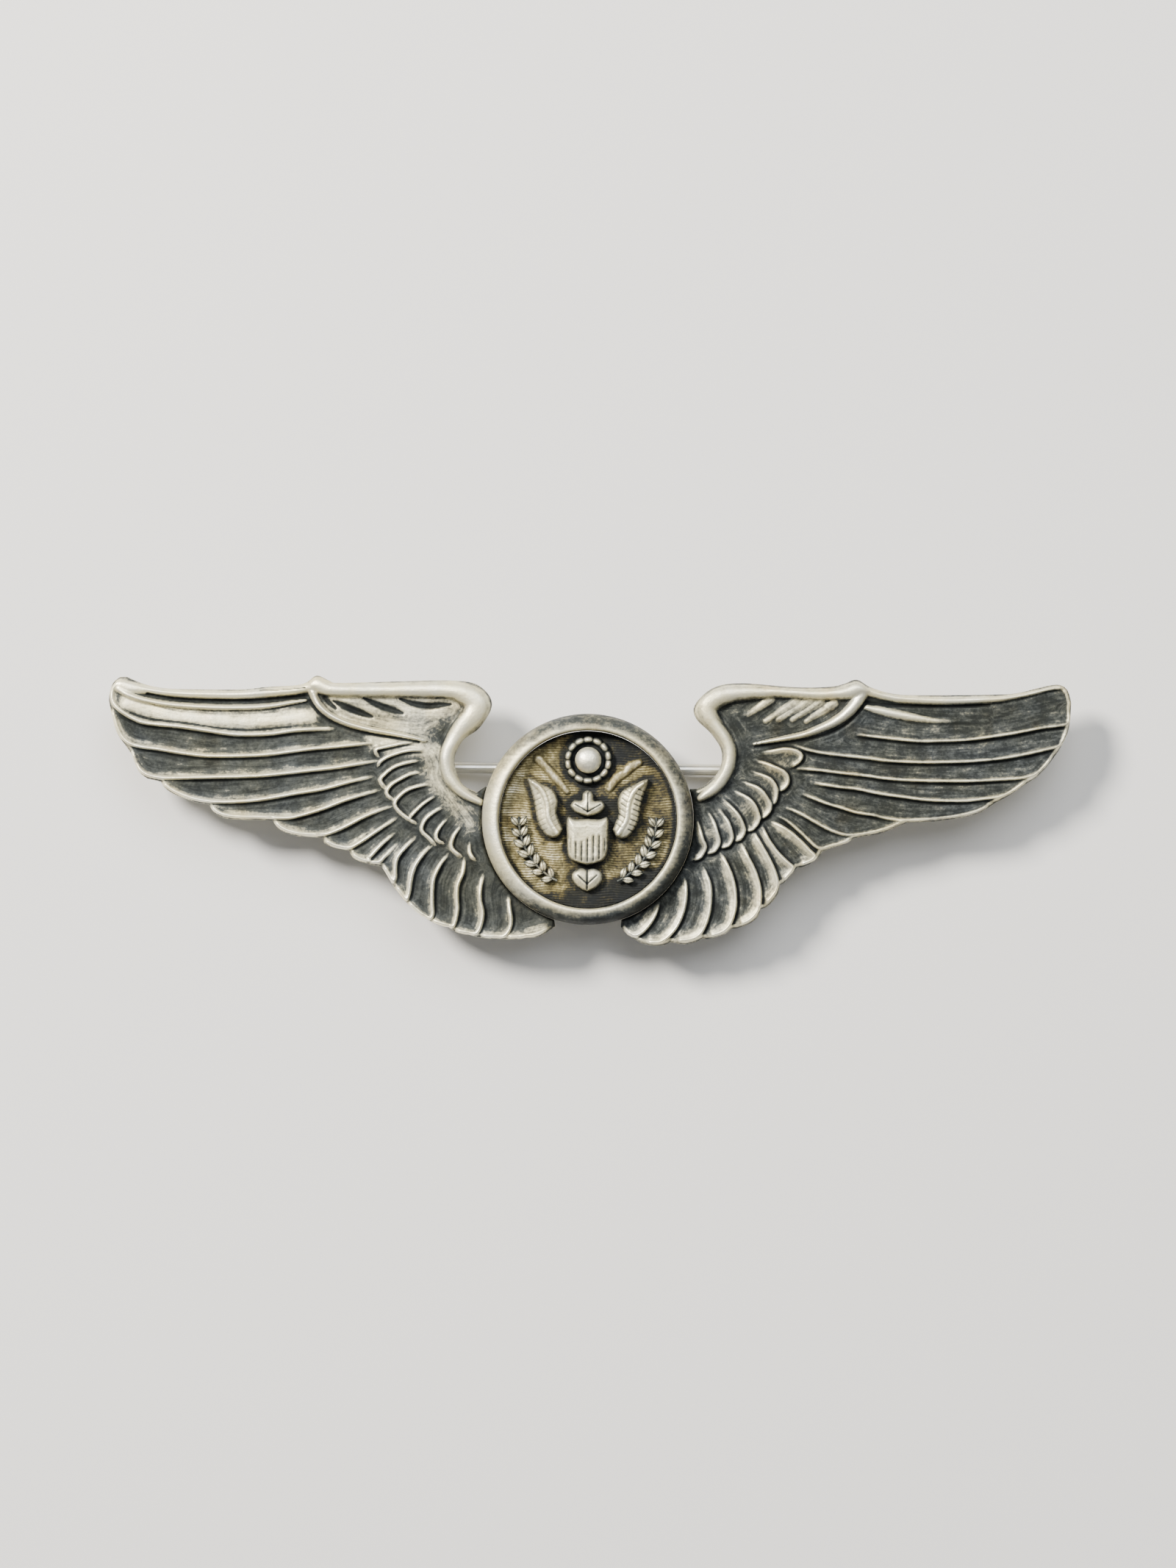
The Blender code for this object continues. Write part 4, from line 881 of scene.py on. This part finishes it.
def make_ring(finish):
    """The raised frame: steep inside, a soft crest, and a long fall to the outside."""
    inner, outer, top = DISC_RADIUS + 0.04, RING_OUTER, RING_LEVEL
    profile = [
        (inner, 0.0), (inner, 0.9), (inner, DISC_LEVEL + 0.1), (inner + 0.02, top - 0.45),
        (inner + 0.06, top - 0.17), (inner + 0.13, top - 0.05), (inner + 0.22, top),
        (inner + 0.36, top - 0.02), (inner + 0.6, top - 0.1), (inner + 0.82, top - 0.24),
        (inner + 1.0, top - 0.46),
        (inner + 1.15, top - 0.78), (inner + 1.26, top - 1.2), (outer - 0.02, top - 1.7), (outer, top - 2.1),
        (outer, 0.35), (outer - 0.1, 0.06), (outer - 0.2, 0.0),
    ]

    def polish(spots):
        radius = np.hypot(spots[:, 0], spots[:, 1])
        around = np.degrees(np.arctan2(spots[:, 1], spots[:, 0])) % 360
        # Painted light round the ring, from the table, on top of the rubbed crest and the oxidised flank.
        angles, crests, flanks = np.array(RING_WEAR_AND_PAINTED_LIGHT).T
        body, low = np.interp(around, angles, crests), np.interp(around, angles, flanks)
        # A painted highlight along the crest's inner lip, where the edge catches the light; it is also the
        # most rubbed line.
        lip = 0.28 * dome((radius - inner - 0.2) / 0.3)
        within = (radius < inner + 0.1) & (spots[:, 2] < DISC_LEVEL + 0.3) & (spots[:, 2] > 0.1)
        return body + (low - body) * ramp((radius - inner - 0.45) / 0.5) + lip - 0.5 * within

    ring = spin_piece("bezel_ring_turned", profile, finish, polish, steps=180, sharp=60.0)
    seat(ring, "bezel_ring")


def make_field(*finishes):
    """The sunk field: fine uneven level lines, brown tone, oxide pooled round the crest, and painted light
    that brightens it towards the left.
    """
    die = Die(arc(DISC_RADIUS, 0, 360, 180)[:-1], (0.09, 0.05), FIELD_LEVEL)
    wander = 0.9 * np.sin(die.x * 1.3 + die.y * 0.7) + 0.6 * np.sin(die.x * 2.6 - 1.1 + die.y)
    lines = np.sin(2 * math.pi * (die.y + 0.05 * wander) / FIELD_LINE_GAP)
    worn = 0.5 * np.sin(die.x * 2.1 + 1.7 * np.sin(die.y * 1.9))
    worn = 0.5 + worn * np.sin(die.y * 1.4 + 2.0 * np.sin(die.x * 0.9))
    die.height += 0.034 * lines * (0.25 + 0.75 * worn)
    radius = np.hypot(die.x, die.y)
    foot = ramp((-die.y - 4.9 + 0.25 * die.x) / 0.5)
    corner = ramp((die.x + die.y - 5.6) / 0.8) * ramp((die.y - 4.1) / 0.35)
    # Painted light: the field is painted brighter towards the left, where the key light falls. The level
    # lines and uneven patches are its own wear.
    die.polish = 0.54 - 0.022 * die.x + 0.17 * lines * (0.3 + 0.7 * worn) + 0.24 * (worn - 0.5)
    die.polish -= 0.4 * np.maximum(foot, corner) + 0.4 * ramp((radius - 6.6) / 0.3)
    plume = smooth_line(PLUME, 0.3)
    closed = [mirrored(SHIELD_HALF), mirrored(PALMETTE_HALF), mirrored(FINIAL_HALF)]
    under_sprays = [arc(5.45, -2, -58, 16), arc(5.45, 182, 238, 16)]
    round_collar = arc(1.95, 0, 360, 40) + [0.0, BOSS_Y]
    for shape in (*closed, plume, plume * [-1.0, 1.0], *under_sprays, round_collar):
        line = np.vstack([shape, shape[:1]]) if len(shape) > 20 else shape
        die.groove(line, 0.55, 0.04, 0.62)
    for x, y, reach in ((-1.25, 1.2, 1.3), (1.5, 1.1, 1.1), (2.0, -0.6, 0.7), (0.0, 2.5, 1.2)):
        die.polish -= 0.5 * dome(np.hypot(die.x - x, die.y - y) / reach)
    for ribbon in RIBBONS:
        die.bead(ribbon, 0.3, 0.8)
    piece = die.strike("medallion_field", finishes, FIELD_LEVEL, edge_round=0.05)
    seat(piece, "medallion_disc")


def struck_shape(node_name, outline, level, finish, work):
    """A small raised shape on the field, struck from its own outline; work cuts its face."""
    die = Die(outline, 0.05, level)
    depth, _ = die.measure_edge()
    die.height -= 0.25 * (1.0 - ramp(depth / 0.6))
    die.polish = 0.42 + 0.26 * ramp(depth / 0.2)
    work(die, depth)
    die.soften()
    piece = die.strike(f"{node_name}_struck", [finish], DISC_LEVEL + 0.15, back=CREST_SEAT, edge_round=0.22,
                       side_polish=0.15)
    seat(piece, node_name)


def mirrored(half):
    """A whole outline from the half on the +X side of its middle line."""
    line = smooth_line(half, 0.12)
    other = line[::-1] * [-1.0, 1.0]
    return np.vstack([line, other[1:-1]])


def make_crest(finish):
    """A fluted shield, a palmette over it, a finial under it and a plume either side."""

    def flutes(die, depth):
        ends = -1.35 + 0.3 * np.sin(2.3 * die.x)
        below = ramp((ends - die.y) / 0.3) * ramp((depth - 0.15) / 0.15)
        waves = 0.5 + 0.5 * np.cos(2 * math.pi * die.x / FLUTE_GAP)
        die.height -= 0.12 * below * waves ** 2
        die.polish -= 0.5 * below * waves ** 8

    def ribs(die, _):
        for tip in ((-1.0, 1.2), (0.0, 2.1), (1.0, 1.2)):
            die.groove([(0.0, 0.6), tip], 0.1, 0.1, 0.5)

    def veins(die, _):
        die.groove([(0.0, -4.1), (0.0, -5.5)], 0.12, 0.14, 0.6)
        for side in (-1, 1):
            die.groove([(0.0, -5.1), (side * 0.75, -4.4)], 0.1, 0.1, 0.5)

    struck_shape("crest_shield", mirrored(SHIELD_HALF), 2.95, finish, flutes)
    struck_shape("crest_palmette", mirrored(PALMETTE_HALF), 2.75, finish, ribs)
    struck_shape("crest_finial", mirrored(FINIAL_HALF), 2.45, finish, veins)
    for side, sign, cut in (("left", -1, 0.35), ("right", 1, 0.8)):
        outline = smooth_line(PLUME, 0.12)[:-1] * [sign, 1.0]

        def barbs(die, _):
            die.bead([(sign * x, y, half) for x, y, half in PLUME_SPINE], 0.14, 1.0)
            for low in np.arange(-0.9, 2.6, 0.4):
                middle = 2.9 + 0.22 * (low + 0.9)
                outer = [(sign * (middle + 0.3), low + 0.15), (sign * (middle + 1.1), low - 0.2)]
                inner = [(sign * (middle - 0.15), low + 0.25), (sign * (middle - 0.65), low + 0.6)]
                die.groove(outer, 0.08, 0.07 * cut, 0.6 * cut)
                die.groove(inner, 0.07, 0.06 * cut, 0.5 * cut)

        struck_shape(f"crest_plume_{side}", outline, 2.8, finish, barbs)


def make_boss(finish):
    """A domed boss in a groove, ringed by a lobed collar."""
    dome_profile = [(0.0, CREST_SEAT), (1.02, CREST_SEAT), (1.05, 2.2), (1.03, 2.42)]
    turns = np.radians(np.arange(12, 90, 12))
    dome_profile += [(1.03 * math.cos(turn), 2.42 + 0.72 * math.sin(turn)) for turn in turns]
    dome_profile += [(0.0, 3.14)]

    def polish(spots):
        reach = np.hypot(spots[:, 0], spots[:, 1] - BOSS_Y)
        return np.where(spots[:, 2] < 2.35, 0.1, 0.9 - 0.3 * ramp((reach - 0.75) / 0.3))

    boss = spin_piece("crest_boss_domed", dome_profile, finish, polish, (0.0, BOSS_Y, 0.0), steps=64)
    seat(boss, "crest_boss")

    angles = np.linspace(0, 2 * math.pi, COLLAR_LOBES * 12, endpoint=False)
    wave = np.abs(np.sin(COLLAR_LOBES / 2 * angles)) ** 0.6
    radius = 1.78 + 0.2 * wave
    outline = np.column_stack([radius * np.cos(angles), BOSS_Y + radius * np.sin(angles)])
    die = Die(outline, 0.045, 2.05)
    angle = np.arctan2(die.y - BOSS_Y, die.x)
    reach = np.hypot(die.x, die.y - BOSS_Y)
    lobe = np.abs(np.sin(COLLAR_LOBES / 2 * angle)) ** 0.7
    ring = dome((reach - 1.62) / 0.36)
    die.height += 0.35 * ring * (0.25 + 0.75 * lobe) - 0.3 * ramp((1.42 - reach) / 0.15)
    die.polish = 0.1 + 0.8 * ring * (0.2 + 0.8 * lobe)
    collar = die.strike("crest_collar_lobed", [finish], DISC_LEVEL, back=CREST_SEAT, edge_round=0.15,
                        side_polish=0.15)
    seat(collar, "crest_collar")


def spray_polish(spots):
    """Dark at the leaves' feet, rubbed on their backs."""
    return 0.2 + 0.52 * ramp((spots[:, 2] - 1.95) / 0.35)


def make_spray(side, sign, finish):
    """A laurel spray: a thin stem on an arc with leaves either side of it."""
    start_fresh()
    bpy.ops.mesh.primitive_uv_sphere_add(segments=14, ring_count=10, radius=MM)
    leaf = bpy.context.object
    for vert in leaf.data.vertices:
        x, y, z = vert.co / MM
        taper = 1.0 - 0.45 * abs(y) ** 1.5
        crease = 0.12 * max(0.0, 1.0 - abs(x) / 0.25)
        thick = (0.26 * z - crease * (z > 0)) * (1.0 - 0.3 * y * y)
        vert.co = Vector((0.33 * x * taper, 0.56 * y, thick)) * MM
    pieces = []
    for order in range(SPRAY_LEAF_PAIRS):
        along = order / (SPRAY_LEAF_PAIRS - 1)
        angle = math.radians(-2 - 54 * along)
        for edge in (-1, 1):
            copy = bpy.data.objects.new("leaf", leaf.data.copy())
            bpy.context.scene.collection.objects.link(copy)
            radius = SPRAY_RADIUS + edge * 0.33
            spot = Vector((radius * math.cos(angle), radius * math.sin(angle), 2.02))
            copy.location = Vector((sign * spot.x, spot.y, spot.z)) * MM
            lean = angle + edge * math.radians(-38)
            copy.rotation_euler = (0.0, 0.0, lean if sign > 0 else -lean)
            size = 1.0 - 0.25 * abs(along - 0.45)
            copy.scale = (size, size, size)
            pieces.append(copy)
    bpy.data.objects.remove(leaf)
    stem = bpy.data.curves.new("stem", "CURVE")
    stem.dimensions = "3D"
    stem.bevel_depth = 0.11 * MM
    stem.bevel_resolution = 3
    stem.use_fill_caps = True
    spline = stem.splines.new("POLY")
    steps = 24
    spline.points.add(steps)
    for step in range(steps + 1):
        angle = math.radians(2 - 66 * step / steps)
        spot = Vector((sign * SPRAY_RADIUS * math.cos(angle), SPRAY_RADIUS * math.sin(angle), 1.98)) * MM
        spline.points[step].co = (*spot, 1.0)
    twig = bpy.data.objects.new("twig", stem)
    bpy.context.scene.collection.objects.link(twig)
    start_fresh()
    twig.select_set(True)
    bpy.context.view_layer.objects.active = twig
    bpy.ops.object.convert(target="MESH")
    twig = bpy.context.object
    start_fresh()
    for piece in (*pieces, twig):
        piece.select_set(True)
    bpy.context.view_layer.objects.active = twig
    bpy.ops.object.join()
    spray = finish_piece(twig, f"laurel_{side}_spray", finish, spray_polish)
    seat(spray, f"laurel_{side}")


# ---------------------------------------------------------------- findings behind

def soften_node(name, finish, polish, bevel, body="badge"):
    """The working piece itself, with its edges eased, in its metal."""
    start_fresh()
    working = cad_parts[name]
    copy = bpy.data.objects.new(name, working.data.copy())
    copy.matrix_world = working.matrix_world
    bpy.context.scene.collection.objects.link(copy)
    copy.select_set(True)
    bpy.context.view_layer.objects.active = copy
    if bevel:
        ease = copy.modifiers.new("ease", "BEVEL")
        ease.width = bevel * MM
        ease.segments = 2
        ease.limit_method = "ANGLE"
        ease.angle_limit = math.radians(40)
        bpy.ops.object.modifier_apply(modifier="ease")
    finish_piece(copy, f"{name}_eased", finish, polish, 35.0)
    seat(copy, name, body=body)


def make_findings(metal):
    """The hinge, the catch and the pin behind the wings."""
    bevels = {"hinge_plate": 0.1, "catch_plate": 0.1, "hinge_bracket": 0.06, "catch_body": 0.06}
    for name, bevel in bevels.items():
        soften_node(name, metal["nickel"], 0.55, bevel)
    soften_node("hinge_rivet", metal["steel"], 0.7, 0.0)
    soften_node("pin_stem", metal["steel"], 0.6, 0.0, "pin")
    soften_node("catch_rotor", metal["steel"], 0.6, 0.05, "catch_sleeve")


# ---------------------------------------------------------------- floor, light and camera

def make_stage():
    """A pale floor just under the lowest point."""
    bpy.ops.object.select_all(action="DESELECT")
    bpy.ops.mesh.primitive_plane_add(size=FLOOR_SIZE, location=(0.0, 0.0, CAD_BOX[0].z - FLOOR_GAP))
    floor = bpy.context.object
    floor.name = "floor"
    pale = bpy.data.materials.new("pale_floor")
    pale.use_nodes = True
    shader = pale.node_tree.nodes["Principled BSDF"]
    shader.inputs["Base Color"].default_value = FLOOR_COLOUR
    shader.inputs["Roughness"].default_value = 0.8
    floor.data.materials.append(pale)


def area_light(name, spot, size, power, colour):
    """A round lamp that faces the origin."""
    data = bpy.data.lights.new(name, "AREA")
    data.shape = "DISK"
    data.size = size
    data.energy = power
    data.color = colour
    lamp = bpy.data.objects.new(name, data)
    lamp.location = spot
    lamp.rotation_euler = Vector(spot).to_track_quat("Z", "Y").to_euler()
    bpy.context.scene.collection.objects.link(lamp)


def make_lights():
    """One key light from the upper left, a wide one from above, and a pale room."""
    world = bpy.data.worlds.new("studio")
    world.use_nodes = True
    world.node_tree.nodes["Background"].inputs["Color"].default_value = ROOM_COLOUR
    world.node_tree.nodes["Background"].inputs["Strength"].default_value = ROOM_LIGHT
    bpy.context.scene.world = world
    area_light("key", **KEY_LIGHT)
    area_light("top", **TOP_LIGHT)


def make_camera():
    """Straight down on the badge, a little above its middle, turned half a degree."""
    data = bpy.data.cameras.new("camera")
    view = bpy.data.objects.new("camera", data)
    data.sensor_fit = "VERTICAL"
    data.sensor_height = SENSOR
    data.lens = SENSOR * (CAMERA_HEIGHT - FACE_HEIGHT) / VIEW_HEIGHT
    data.clip_start = 0.01
    view.location = (0.0, VIEW_MIDDLE, CAMERA_HEIGHT)
    view.rotation_euler = (0.0, 0.0, math.radians(CAMERA_ROLL))
    bpy.context.scene.collection.objects.link(view)
    bpy.context.scene.camera = view


def main():
    """Make every piece, then the stage."""
    metal = make_finishes()
    make_left_wing(metal["left_silver"], metal["back_silver"])
    make_right_wing(metal["right_silver"], metal["back_silver"])
    make_ring(metal["ring_silver"])
    make_field(metal["toned_field"], metal["back_silver"])
    make_crest(metal["crest_silver"])
    make_boss(metal["crest_silver"])
    for side, sign in (("left", -1), ("right", 1)):
        make_spray(side, sign, metal["crest_silver"])
    make_findings(metal)
    make_stage()
    make_lights()
    make_camera()


main()
